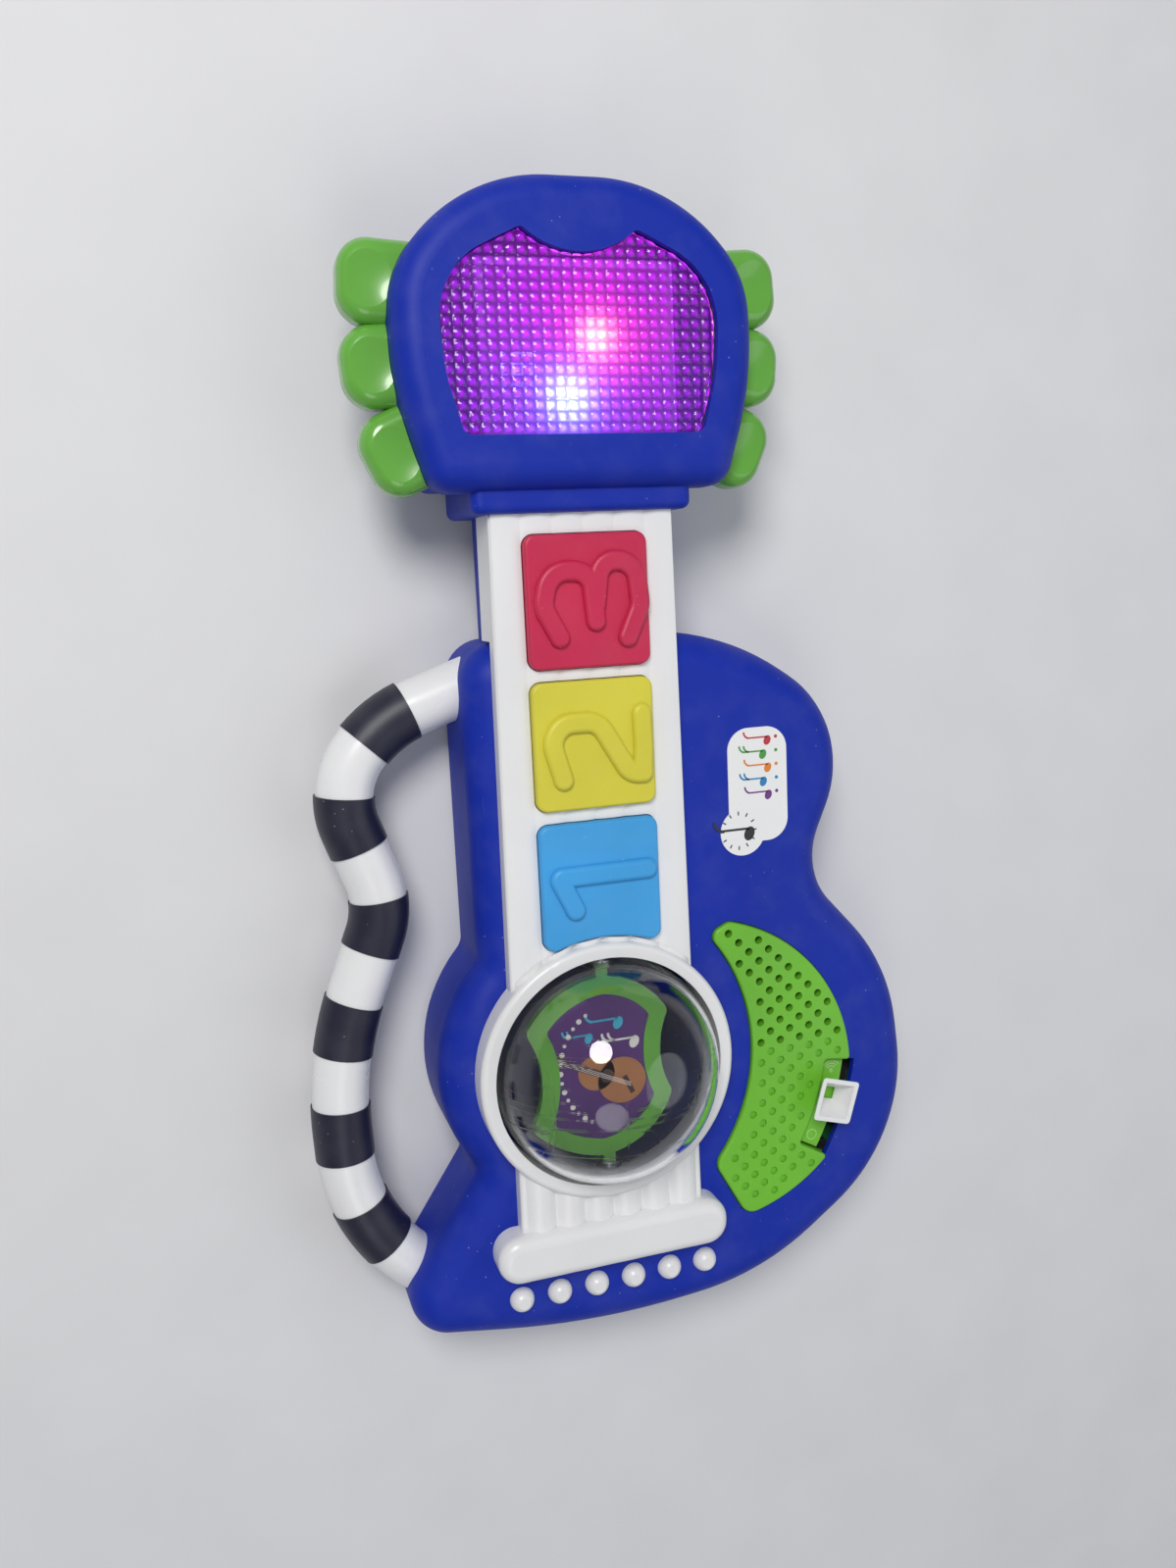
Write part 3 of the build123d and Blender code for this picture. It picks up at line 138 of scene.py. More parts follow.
def disc_lattice(count: int) -> tuple[np.ndarray, np.ndarray]:
    """Square lattice squeezed into a unit disc: x = u sqrt(1 - v v / 2), and y likewise.

    Args:
        count: Points along each side.

    Returns:
        Lattices of x and y.
    """
    u, v = np.meshgrid(np.linspace(-1, 1, count), np.linspace(-1, 1, count))
    return u * np.sqrt(1 - v * v / 2), v * np.sqrt(1 - u * u / 2)


def rounded_bend(a: Point2, b: Point2, c: Point2, radius: float, count: int) -> np.ndarray:
    """Arc that rounds the corner b of the line a, b, c.

    It starts and ends at radius times tan(turn / 2) from the corner, and its points are
    centre - radius * cos and sin of angles that run evenly between the two tangents.

    Args:
        a: Point before the corner.
        b: The corner.
        c: Point after the corner.
        radius: Radius of the arc.
        count: Number of points.

    Returns:
        Rows of x and y.
    """
    first, corner, last = (np.array(point, float) for point in (a, b, c))
    d1 = (corner - first) / np.linalg.norm(corner - first)
    d2 = (last - corner) / np.linalg.norm(last - corner)
    turn = math.acos(float(np.clip(d1 @ d2, -1, 1)))
    side = math.copysign(1.0, d1[0] * d2[1] - d1[1] * d2[0])
    start = corner - d1 * radius * math.tan(turn / 2)
    normal = side * np.array([-d1[1], d1[0]])
    centre = start + normal * radius
    angle = np.linspace(0, turn, count)[:, None]
    return centre - radius * normal * np.cos(angle) + radius * d1 * np.sin(angle)


def spaced(line: np.ndarray, count: int) -> np.ndarray:
    """Points spaced evenly by length along a line of rows of x and y."""
    steps = np.linalg.norm(np.diff(line, axis=0), axis=1)
    length = np.concatenate([[0.0], np.cumsum(steps)])
    share = np.linspace(0, length[-1], count)
    return np.stack([np.interp(share, length, line[:, k]) for k in range(2)], axis=1)


def four_sided_patch(low: np.ndarray, high: np.ndarray, left: np.ndarray, right: np.ndarray
                     ) -> np.ndarray:
    """Lattice inside four curves: the sum of both ruled sheets less the corners' sheet.

    Args:
        low: Points of the lower edge, from left to right.
        high: Points of the upper edge, from left to right.
        left: Points of the left edge, upwards.
        right: Points of the right edge, upwards.

    Returns:
        Lattice of x and y, rows upwards.
    """
    u = np.linspace(0, 1, len(low))[None, :, None]
    v = np.linspace(0, 1, len(left))[:, None, None]
    upright = (1 - v) * low[None] + v * high[None]
    level = (1 - u) * left[:, None] + u * right[:, None]
    corners = ((1 - u) * (1 - v) * low[0] + u * (1 - v) * low[-1]
               + (1 - u) * v * high[0] + u * v * high[-1])
    return upright + level - corners


class Print:
    """A flat printed or raised mark, collected as closed slabs and made into one piece."""

    def __init__(self, name: str, low: float, rise: float) -> None:
        """Starts an empty mark.

        Args:
            name: Name of the piece.
            low: Height of its underside in metres.
            rise: Its thickness in metres.
        """
        self.name, self.low, self.rise = name, low, rise
        self.points: list[np.ndarray] = []
        self.faces: list[np.ndarray] = []
        self.total = 0

    def add(self, x: np.ndarray, y: np.ndarray) -> None:
        """Adds a slab over a lattice of x and y in millimetres.

        A cell's area is half the cross product of its two diagonals. Where the sum is below
        nought, the lattice runs clockwise and is turned round.

        Args:
            x: Lattice of x.
            y: Lattice of y.
        """
        rising = x[1:, 1:] - x[:-1, :-1], y[1:, 1:] - y[:-1, :-1]
        falling = x[1:, :-1] - x[:-1, 1:], y[1:, :-1] - y[:-1, 1:]
        if np.sum(rising[0] * falling[1] - rising[1] * falling[0]) < 0:
            x, y = x[:, ::-1], y[:, ::-1]
        flat = np.full_like(x, self.low)
        points, faces = slab_arrays(x * MM, y * MM, flat + self.rise, flat)
        self.points.append(points)
        self.faces.append(faces + self.total)
        self.total += len(points)

    def disc(self, x: float, y: float, radius: float, stretch: float = 1.0,
             turn: float = 0.0, count: int = 9) -> None:
        """Adds an ellipse: a disc stretched along a turned axis.

        Args:
            x: Centre in millimetres.
            y: Centre in millimetres.
            radius: Half its short axis.
            stretch: Long axis over short axis.
            turn: Angle of the long axis in degrees.
            count: Points along each side of the lattice.
        """
        dx, dy = disc_lattice(count)
        dx, dy = dx * radius * stretch, dy * radius
        c, s = math.cos(math.radians(turn)), math.sin(math.radians(turn))
        self.add(x + dx * c - dy * s, y + dx * s + dy * c)

    def ribbon(self, line: np.ndarray, width: float | np.ndarray) -> None:
        """Adds a band along a line: each point is moved half the width to both sides.

        Args:
            line: Rows of x and y in millimetres.
            width: Width of the band, or one for each point.
        """
        along = np.gradient(line, axis=0)
        along /= np.linalg.norm(along, axis=1, keepdims=True)
        side = np.stack([-along[:, 1], along[:, 0]], axis=1)
        half = np.broadcast_to(np.asarray(width, float) / 2, (len(line),))[:, None]
        across = np.linspace(-1, 1, 3)[None, :, None]
        lattice = line[:, None, :] + side[:, None, :] * half[:, None] * across
        self.add(lattice[..., 0], lattice[..., 1])

    def arc(self, x: float, y: float, radius: float, start: float, end: float,
            width: float, count: int = 17) -> None:
        """Adds a band along part of a circle, from one angle in degrees to another."""
        angle = np.radians(np.linspace(start, end, count))
        line = np.stack([x + radius * np.cos(angle), y + radius * np.sin(angle)], axis=1)
        self.ribbon(line, width)

    def line(self, points: list[tuple[float, float]], width: float | np.ndarray) -> None:
        """Adds a band along a few straight runs."""
        self.ribbon(np.array(points, float), width)

    def note(self, x: float, y: float, size: float, flags: int = 1) -> None:
        """Adds a music note whose top points towards -X.

        Args:
            x: Centre of its head in millimetres.
            y: Centre of its head.
            size: Half the height of its head.
            flags: How many flags its stem has.
        """
        self.disc(x, y, size, 1.35, 65.0, 7)
        top = x - 5.4 * size
        self.line([(x, y + 0.95 * size), (top, y + 0.95 * size)], 0.42 * size)
        for i in range(flags):
            self.arc(top + (0.2 + 1.3 * i) * size, y + 2.6 * size, 1.7 * size, 178, 262,
                     0.5 * size, 9)

    def piece(self, material: bpy.types.Material, body: str, slot: str) -> bpy.types.Object:
        """Makes the collected slabs into one piece.

        Args:
            material: Its material.
            body: The body it rides on.
            slot: Not used.

        Returns:
            The finished object.
        """
        made = mesh_object(self.name, np.concatenate(self.points), np.concatenate(self.faces),
                           smooth=False)
        made.data.materials.append(material)
        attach(made, body)
        return made


# ------------------------------------------------------------------ shader nodes
class Nodes:
    """Short way to lay out a node tree: every call makes a node and wires its inputs."""

    def __init__(self, tree: bpy.types.NodeTree) -> None:
        """Wraps a node tree."""
        self.tree = tree

    def add(self, kind: str, inputs: dict[str | int, object] | None = None,
            **settings: object) -> bpy.types.Node:
        """Makes a node.

        Args:
            kind: Blender's name of the node type.
            inputs: For each input, a value or the output socket to join to it.
            **settings: Properties of the node.

        Returns:
            The node.
        """
        node = self.tree.nodes.new(kind)
        for key, value in settings.items():
            setattr(node, key, value)
        for key, value in (inputs or {}).items():
            if isinstance(value, bpy.types.NodeSocket):
                self.tree.links.new(value, node.inputs[key])
            else:
                node.inputs[key].default_value = value
        return node

    def maths(self, operation: str, a: object, b: object = 0.0, clamp: bool = False
              ) -> bpy.types.NodeSocket:
        """Result of a sum on two values."""
        node = self.add("ShaderNodeMath", {0: a, 1: b}, operation=operation, use_clamp=clamp)
        return node.outputs[0]

    def span(self, value: object, low: float, high: float, to_low: float = 0.0,
             to_high: float = 1.0) -> bpy.types.NodeSocket:
        """Value carried from one range to another, and held inside it."""
        node = self.add("ShaderNodeMapRange", {"Value": value, "From Min": low,
                                               "From Max": high, "To Min": to_low,
                                               "To Max": to_high})
        return node.outputs[0]

    def mix(self, share: object, first: object, second: object) -> bpy.types.NodeSocket:
        """Colour between two colours."""
        node = self.tree.nodes.new("ShaderNodeMix")
        node.data_type = "RGBA"
        for key, value in ((0, share), (6, first), (7, second)):
            if isinstance(value, bpy.types.NodeSocket):
                self.tree.links.new(value, node.inputs[key])
            else:
                node.inputs[key].default_value = value if key == 0 else (*value[:3], 1.0)
        return node.outputs[2]

    def place(self, scale: Point) -> bpy.types.NodeSocket:
        """The piece's own coordinates, stretched along each axis."""
        source = self.add("ShaderNodeTexCoord").outputs["Object"]
        return self.add("ShaderNodeMapping", {"Vector": source, "Scale": scale}).outputs[0]

    def noise(self, vector: object, scale: object, detail: float = 2.0) -> bpy.types.NodeSocket:
        """Cloudy value between nought and one."""
        node = self.add("ShaderNodeTexNoise", {"Vector": vector, "Scale": scale,
                                               "Detail": detail})
        return node.outputs["Fac"]


class Effect(Enum):
    """Shared surface effects, each one a node group."""

    GRAIN = "moulded_grain"
    DUST = "settled_dust"
    SCRATCHES = "hairline_scratches"
    WEAR = "edge_wear"


def new_group(name: str, numbers: dict[str, float], outputs: list[str]
              ) -> tuple[bpy.types.NodeTree, Nodes, bpy.types.Node, bpy.types.Node]:
    """Starts a node group with number sockets.

    Args:
        name: Its name.
        numbers: Its inputs and their usual values.
        outputs: Its outputs.

    Returns:
        The group, its node maker, its input node and its output node.
    """
    group = bpy.data.node_groups.new(name, "ShaderNodeTree")
    for label, value in numbers.items():
        socket = group.interface.new_socket(label, in_out="INPUT", socket_type="NodeSocketFloat")
        socket.default_value = value
    for label in outputs:
        group.interface.new_socket(label, in_out="OUTPUT", socket_type="NodeSocketFloat")
    nodes = Nodes(group)
    return group, nodes, nodes.add("NodeGroupInput"), nodes.add("NodeGroupOutput")


def build_grain() -> bpy.types.NodeTree:
    """Fine spark-eroded mould grain, with slow mottling of the colour.

    Returns:
        Group with outputs Height and Mottle.
    """
    group, nodes, given, out = new_group(Effect.GRAIN.value, {"Scale": 2600.0},
                                         ["Height", "Mottle"])
    place = nodes.place((1.0, 1.0, 1.0))
    fine = nodes.noise(place, given.outputs["Scale"], 3.0)
    coarse = nodes.noise(place, nodes.maths("MULTIPLY", given.outputs["Scale"], 0.3), 1.0)
    height = nodes.maths("ADD", fine, nodes.maths("MULTIPLY", coarse, 0.6))
    mottle = nodes.noise(place, 26.0, 4.0)
    group.links.new(height, out.inputs["Height"])
    group.links.new(nodes.span(mottle, 0.3, 0.7), out.inputs["Mottle"])
    return group


def build_dust() -> bpy.types.NodeTree:
    """Scattered specks of dust and lint: small cells of a cell pattern, thinned by clouds.

    Returns:
        Group with output Mask.
    """
    group, nodes, given, out = new_group(Effect.DUST.value, {"Scale": 420.0, "Amount": 0.5},
                                         ["Mask"])
    place = nodes.place((1.0, 1.0, 1.0))
    cells = nodes.add("ShaderNodeTexVoronoi", {"Vector": place, "Scale": given.outputs["Scale"]})
    speck = nodes.span(cells.outputs["Distance"], 0.10, 0.05)
    chance = nodes.add("ShaderNodeSeparateColor", {0: cells.outputs["Color"]}).outputs[0]
    rare = nodes.span(chance, 0.72, 0.76)
    cloud = nodes.span(nodes.noise(place, 34.0, 3.0), 0.38, 0.62)
    film = nodes.maths("MULTIPLY", nodes.span(nodes.noise(place, 90.0, 5.0), 0.45, 0.8), 0.05)
    dots = nodes.maths("MULTIPLY", nodes.maths("MULTIPLY", speck, rare), cloud)
    mask = nodes.maths("MULTIPLY", nodes.maths("ADD", dots, film), given.outputs["Amount"],
                       clamp=True)
    group.links.new(mask, out.inputs["Mask"])
    return group


def build_scratches() -> bpy.types.NodeTree:
    """Hairline scratches round the Y axis and a few that cross them: thin contours of noise.

    Returns:
        Group with outputs Mask and Height.
    """
    group, nodes, given, out = new_group(Effect.SCRATCHES.value, {"Amount": 1.0},
                                         ["Mask", "Height"])
    lines = []
    for stretch, width in (((5.0, 300.0, 5.0), 0.012), ((70.0, 6.0, 9.0), 0.004),
                           ((34.0, 26.0, 8.0), 0.0025)):
        value = nodes.noise(nodes.place(stretch), 1.0, 0.0)
        near = nodes.maths("ABSOLUTE", nodes.maths("SUBTRACT", value, 0.5))
        lines.append(nodes.span(near, width, 0.0))
    patch = nodes.span(nodes.noise(nodes.place((26.0, 26.0, 26.0)), 1.0, 1.0), 0.45, 0.65)
    most = nodes.maths("MAXIMUM", nodes.maths("MAXIMUM", lines[0], lines[1]), lines[2])
    mask = nodes.maths("MULTIPLY", nodes.maths("MULTIPLY", most, patch),
                       given.outputs["Amount"], clamp=True)
    group.links.new(mask, out.inputs["Mask"])
    group.links.new(nodes.maths("MULTIPLY", mask, -1.0), out.inputs["Height"])
    return group


def build_wear() -> bpy.types.NodeTree:
    """Worn edges: where a rounded normal leaves the true one, broken up by noise.

    Returns:
        Group with output Mask.
    """
    group, nodes, given, out = new_group(Effect.WEAR.value, {"Radius": 0.0006, "Amount": 0.5},
                                         ["Mask"])
    rounded = nodes.add("ShaderNodeBevel", {"Radius": given.outputs["Radius"]}, samples=4)
    true = nodes.add("ShaderNodeNewGeometry").outputs["Normal"]
    dot = nodes.add("ShaderNodeVectorMath", {0: rounded.outputs[0], 1: true},
                    operation="DOT_PRODUCT").outputs["Value"]
    edge = nodes.span(dot, 0.985, 0.86)
    broken = nodes.span(nodes.noise(nodes.place((1.0, 1.0, 1.0)), 300.0, 4.0), 0.4, 0.62)
    mask = nodes.maths("MULTIPLY", nodes.maths("MULTIPLY", edge, broken),
                       given.outputs["Amount"], clamp=True)
    group.links.new(mask, out.inputs["Mask"])
    return group


BUILDERS = {Effect.GRAIN: build_grain, Effect.DUST: build_dust,
            Effect.SCRATCHES: build_scratches, Effect.WEAR: build_wear}


def effect(nodes: Nodes, kind: Effect, values: dict[str, float]) -> bpy.types.Node:
    """Places a shared effect in a material, and builds its group the first time.

    Args:
        nodes: The material's node maker.
        kind: Which effect.
        values: Its inputs.

    Returns:
        The group node.
    """
    group = bpy.data.node_groups.get(kind.value) or BUILDERS[kind]()
    node = nodes.add("ShaderNodeGroup", node_tree=group)
    for label, value in values.items():
        node.inputs[label].default_value = value
    return node


def new_material(name: str) -> tuple[bpy.types.Material, Nodes, bpy.types.Node]:
    """Starts a material with one Principled shader.

    Args:
        name: Name of the material.

    Returns:
        The material, its node maker and its shader.
    """
    material = bpy.data.materials.new(name)
    material.use_nodes = True
    nodes = Nodes(material.node_tree)
    return material, nodes, material.node_tree.nodes["Principled BSDF"]


# ------------------------------------------------------------------ finishes
@dataclass(frozen=True)
class Moulded:
    """A moulded plastic, rubber, print or metal finish."""

    name: str
    colour: Colour
    roughness: float
    grain: float = 0.2
    grain_scale: float = 2600.0
    mottle: float = 0.08
    dust: float = 0.4
    wear: float = 0.3
    wear_colour: Colour = (0.55, 0.57, 0.62)
    coat: float = 0.0
    metallic: float = 0.0
    scratches: float = 0.0
    subsurface: float = 0.0
    specular: float = 0.5

    def material(self) -> bpy.types.Material:
        """Builds the finish: mottled colour, worn edges, dust and a fine moulded grain.

        Returns:
            The material.
        """
        material, nodes, shader = new_material(self.name)
        grain = effect(nodes, Effect.GRAIN, {"Scale": self.grain_scale})
        dark = tuple(c * (1 - self.mottle) for c in self.colour)
        light = tuple(min(1.0, c * (1 + self.mottle)) for c in self.colour)
        colour = nodes.mix(grain.outputs["Mottle"], dark, light)
        rough = nodes.span(grain.outputs["Mottle"], 0.0, 1.0, self.roughness * 0.92,
                           min(1.0, self.roughness * 1.1))
        if self.wear:
            wear = effect(nodes, Effect.WEAR, {"Amount": self.wear}).outputs["Mask"]
            colour = nodes.mix(wear, colour, self.wear_colour)
        if self.scratches:
            marks = effect(nodes, Effect.SCRATCHES, {"Amount": self.scratches})
            rough = nodes.maths("ADD", rough, nodes.maths("MULTIPLY", marks.outputs["Mask"],
                                                          0.25), clamp=True)
        if self.dust:
            dust = effect(nodes, Effect.DUST, {"Amount": self.dust}).outputs["Mask"]
            colour = nodes.mix(dust, colour, DUST_COLOUR)
            rough = nodes.maths("ADD", rough, nodes.maths("MULTIPLY", dust, 0.3), clamp=True)
        bump = nodes.add("ShaderNodeBump", {"Height": grain.outputs["Height"],
                                            "Strength": self.grain, "Distance": GRAIN_DEPTH})
        tree = material.node_tree
        tree.links.new(colour, shader.inputs["Base Color"])
        tree.links.new(rough, shader.inputs["Roughness"])
        tree.links.new(bump.outputs["Normal"], shader.inputs["Normal"])
        shader.inputs["Coat Weight"].default_value = self.coat
        shader.inputs["Coat Roughness"].default_value = COAT_ROUGHNESS
        shader.inputs["Metallic"].default_value = self.metallic
        shader.inputs["Subsurface Weight"].default_value = self.subsurface
        shader.inputs["Specular IOR Level"].default_value = self.specular
        shader.inputs["Subsurface Scale"].default_value = SUBSURFACE_REACH
        return material


@dataclass(frozen=True)
class Clear:
    """A see-through plastic with hairline scratches and a little dust."""

    name: str
    colour: Colour
    roughness: float
    scratches: float
    dust: float
    glow: float = 0.0
    pitch: float = 3.1

    def pillow(self, nodes: Nodes) -> bpy.types.NodeSocket:
        """Painted light gathered by each small pillow: |cos(pi x / pitch) cos(pi y / pitch)|
        cubed.
        """
        turn = math.pi / (self.pitch * MM)
        parts = nodes.add("ShaderNodeSeparateXYZ", {0: nodes.place((turn, turn, turn))})
        waves = nodes.maths("MULTIPLY", nodes.maths("COSINE", parts.outputs[0]),
                            nodes.maths("COSINE", parts.outputs[1]))
        return nodes.maths("POWER", nodes.maths("ABSOLUTE", waves), 3.0)

    def material(self) -> bpy.types.Material:
        """Builds the glass: scratches roughen it and dent its normal, and a painted glow fills
        it, though it is no lamp.

        Returns:
            The material.
        """
        material, nodes, shader = new_material(self.name)
        marks = effect(nodes, Effect.SCRATCHES, {"Amount": self.scratches})
        dust = effect(nodes, Effect.DUST, {"Amount": self.dust}).outputs["Mask"]
        rough = nodes.maths("ADD", nodes.maths("MULTIPLY", marks.outputs["Mask"], 0.35),
                            nodes.maths("MULTIPLY", dust, 0.4))
        rough = nodes.maths("ADD", rough, self.roughness, clamp=True)
        bump = nodes.add("ShaderNodeBump", {"Height": marks.outputs["Height"],
                                            "Strength": 0.5, "Distance": SCRATCH_DEPTH})
        colour = nodes.mix(dust, self.colour, (0.8, 0.8, 0.82))
        tree = material.node_tree
        tree.links.new(colour, shader.inputs["Base Color"])
        tree.links.new(rough, shader.inputs["Roughness"])
        tree.links.new(bump.outputs["Normal"], shader.inputs["Normal"])
        shader.inputs["Transmission Weight"].default_value = 1.0
        shader.inputs["IOR"].default_value = STYRENE_IOR
        if self.glow:
            # Painted glow: the head's pools of light, brighter in each pillow, given off by the
            # window itself.
            pools = head_pools(nodes, (0.0, 0.0))
            spread = nodes.span(self.pillow(nodes), 0.0, 1.0, 0.25, 1.5)
            lit = nodes.add("ShaderNodeVectorMath", {0: pools, "Scale": spread},
                            operation="SCALE").outputs[0]
            tree.links.new(lit, shader.inputs["Emission Color"])
            shader.inputs["Emission Strength"].default_value = self.glow
        return material


@dataclass(frozen=True)
class Glow:
    """A coloured pool of painted light about a point in the lit head."""

    x: float
    y: float
    reach: float
    colour: Colour


# Painted pools of light in the head, given off by surfaces that are no lamps: place and reach in
# millimetres, and colour.
HEAD_GLOWS = (
    Glow(4.6, 213.3, 4.2, (1.2, 0.80, 0.30)),
    Glow(5.6, 212.6, 10.5, (0.75, 0.03, 0.02)),
    Glow(-4.1, 197.4, 6.0, (0.50, 0.95, 1.05)),
    Glow(-5.0, 195.5, 14.0, (0.0, 0.06, 0.60)),
    Glow(2.0, 222.0, 30.0, (0.16, 0.0, 0.06)),
    Glow(0.0, 210.0, 60.0, (0.16, 0.006, 0.38)),
)


def head_pools(nodes: Nodes, shift: Point2) -> bpy.types.NodeSocket:
    """Sum of the head's painted pools of light: each is its colour times exp(-(distance /
    reach)^2).

    Args:
        nodes: The material's node maker.
        shift: How far the pools move in x and y, in millimetres.

    Returns:
        The summed colour.
    """
    place = nodes.place((1.0, 1.0, 0.0))
    total = None
    for glow in HEAD_GLOWS:
        centre = ((glow.x + shift[0]) * MM, (glow.y + shift[1]) * MM, 0.0)
        gap = nodes.add("ShaderNodeVectorMath", {0: place, 1: centre},
                        operation="DISTANCE").outputs["Value"]
        share = nodes.maths("DIVIDE", gap, glow.reach * MM)
        share = nodes.maths("MULTIPLY", nodes.maths("MULTIPLY", share, share), -1.0)
        share = nodes.maths("EXPONENT", share)
        pool = nodes.add("ShaderNodeVectorMath", {0: glow.colour, "Scale": share},
                         operation="SCALE").outputs[0]
        total = pool if total is None else nodes.add(
            "ShaderNodeVectorMath", {0: total, 1: pool}, operation="ADD").outputs[0]
    return total


@dataclass(frozen=True)
class Lit:
    """Lining of the lit head: painted pools of coloured light over a dark base that is painted
    shade, in place of its pale plastic.
    """

    name: str
    strength: float
    shift: Point2 = (9.0, 4.5)

    def material(self) -> bpy.types.Material:
        """Builds the lining.

        Returns:
            The material.
        """
        material, nodes, shader = new_material(self.name)
        grain = effect(nodes, Effect.GRAIN, {"Scale": 1800.0})
        # Dark base: painted shade inside the head, where the real lining is pale plastic.
        colour = nodes.mix(grain.outputs["Mottle"], (0.10, 0.07, 0.14), (0.12, 0.09, 0.16))
        tree = material.node_tree
        tree.links.new(colour, shader.inputs["Base Color"])
        # Painted glow: the head's pools of light given off by the lining, which is no lamp.
        tree.links.new(head_pools(nodes, self.shift), shader.inputs["Emission Color"])
        shader.inputs["Emission Strength"].default_value = self.strength
        shader.inputs["Roughness"].default_value = 0.5
        return material


@dataclass(frozen=True)
class Lamp:
    """The tinted body of a lit lamp."""

    name: str
    colour: Colour
    strength: float

    def material(self) -> bpy.types.Material:
        """Builds the lamp: tinted epoxy that glows.

        Returns:
            The material.
        """
        material, nodes, shader = new_material(self.name)
        grain = effect(nodes, Effect.GRAIN, {"Scale": 900.0})
        tint = tuple(0.6 + 0.4 * c for c in self.colour)
        colour = nodes.mix(grain.outputs["Mottle"], tint, (1.0, 1.0, 1.0))
        material.node_tree.links.new(colour, shader.inputs["Base Color"])
        shader.inputs["Emission Color"].default_value = (*self.colour, 1.0)
        shader.inputs["Emission Strength"].default_value = self.strength
        shader.inputs["Roughness"].default_value = 0.1
        return material


def ink(name: str, colour: Colour) -> bpy.types.Material:
    """A printed ink: a smooth plastic finish without wear.

    Args:
        name: Name of the material.
        colour: Its colour.

    Returns:
        The material.
    """
    return Moulded(name, colour, 0.35, grain=0.05, mottle=0.06, dust=0.1, wear=0.0).material()


def dress(material: bpy.types.Material, *nodes: str) -> None:
    """Gives CAD nodes a material."""
    for name in nodes:
        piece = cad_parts[name]
        piece.data.materials.clear()
        piece.data.materials.append(material)
        LOG.info("dressed %s in %s", name, material.name)


# ------------------------------------------------------------------ the guitar's sub-assemblies
@dataclass
class Case:
    """Blue shells, the battery door, the screws and what lies inside."""

    blue: Moulded = Moulded("matte_blue_shell", (0.002, 0.022, 0.36), 0.52, grain=0.35,
                            mottle=0.04, dust=0.55, wear=0.25,
                            wear_colour=(0.05, 0.10, 0.50), specular=0.3)
    steel: Moulded = Moulded("zinc_plated_steel", (0.55, 0.55, 0.56), 0.32, metallic=1.0,
                             scratches=0.6, wear=0.0)
    board: Moulded = Moulded("green_circuit_board", (0.03, 0.22, 0.08), 0.35, coat=0.4)
    black: Moulded = Moulded("black_moulding", (0.02, 0.02, 0.022), 0.45)
    cells: Moulded = Moulded("printed_cell_case", (0.05, 0.05, 0.055), 0.3, metallic=0.6)

    def build(self) -> None:
        """Dresses the case."""
        dress(self.blue.material(), "rear_shell", "front_shell", "head_bezel", "battery_door")
        dress(self.steel.material(), "case_screws", "door_screw", "battery_contacts",
              "ball_pins", "speaker_frame", "speaker_magnet")
        dress(self.board.material(), "key_board", "main_board")
        dress(self.black.material(), "board_chips", "slide_switch", "speaker_cone")
        dress(self.cells.material(), "batteries")


@dataclass
class Neck:
    """White neck plate, the string pegs and the badge with its printed picture."""

    white: Moulded = Moulded("semi_gloss_white", (0.80, 0.80, 0.80), 0.30, grain=0.10,
                             mottle=0.03, dust=0.35, wear=0.15, wear_colour=(0.62, 0.62, 0.6),
                             scratches=0.3, subsurface=0.08)
    paper: Moulded = Moulded("filmed_label", (0.84, 0.84, 0.83), 0.28, grain=0.05, mottle=0.02,
                             dust=0.3, wear=0.0, scratches=0.5)

    def build(self) -> None:
        """Dresses the neck plate and prints the badge."""
        white = self.white.material()
        dress(white, "neck_fascia", "string_pegs")
        dress(self.paper.material(), "badge_label")
        self.badge_picture()

    def badge_picture(self) -> None:
        """Prints a row of coloured notes, and a dark note with rays in the badge's round end."""
        low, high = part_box("badge_label")
        middle = (low.x + high.x) / 2 / MM + 1.6
        foot = low.y / MM
        first, step = foot + 18.5, 4.3
        colours = (("plum", (0.16, 0.03, 0.22)), ("sky", (0.02, 0.22, 0.50)),
                   ("orange", (0.75, 0.22, 0.02)), ("leaf", (0.06, 0.32, 0.05)),
                   ("brick", (0.50, 0.03, 0.04)))
        for i, (name, colour) in enumerate(colours):
            mark = Print(f"badge_note_{name}", high.z, INK_RISE)
            y = first + step * i
            mark.note(middle + 3.4 - 1.6 * (i % 2), y, 1.15, 1 + i % 2)
            mark.disc(middle + 6.3, y + 1.0, 0.55, count=5)
            mark.piece(ink(f"badge_ink_{name}", colour), "root", "badge_print")
        dark = Print("badge_round_mark", high.z, INK_RISE)
        dark.note(middle - 3.4, foot + 6.8, 1.7)
        x, y = middle - 7.0, foot + 8.0
        for angle in range(0, 360, 30):
            c, k = polar(1.0, angle)
            dark.line([(x + ray * c, y + ray * k) for ray in (4.9, 6.1)], 0.4)
        dark.piece(ink("badge_ink_dark", (0.02, 0.02, 0.025)), "root", "badge_print")


@dataclass
class Keys:
    """The three press keys and their rubber domes."""

    finishes: tuple[tuple[str, Moulded], ...] = (
        ("key_1_blue", Moulded("satin_light_blue", (0.045, 0.34, 0.72), 0.42, grain=0.35,
                               dust=0.45, wear_colour=(0.25, 0.55, 0.8))),
        ("key_2_yellow", Moulded("satin_yellow", (0.66, 0.60, 0.045), 0.42, grain=0.35,
                                 dust=0.45, wear_colour=(0.8, 0.78, 0.4))),
        ("key_3_red", Moulded("satin_raspberry", (0.55, 0.015, 0.07), 0.42, grain=0.35,
                              dust=0.45, wear_colour=(0.75, 0.2, 0.25))),
    )
    rubber: Moulded = Moulded("grey_silicone", (0.4, 0.41, 0.43), 0.6)

    def build(self) -> None:
        """Dresses each key and its dome."""
        rubber = self.rubber.material()
        for number, (node, finish) in enumerate(self.finishes, start=1):
            dress(finish.material(), node)
            dress(rubber, f"key_{number}_dome")


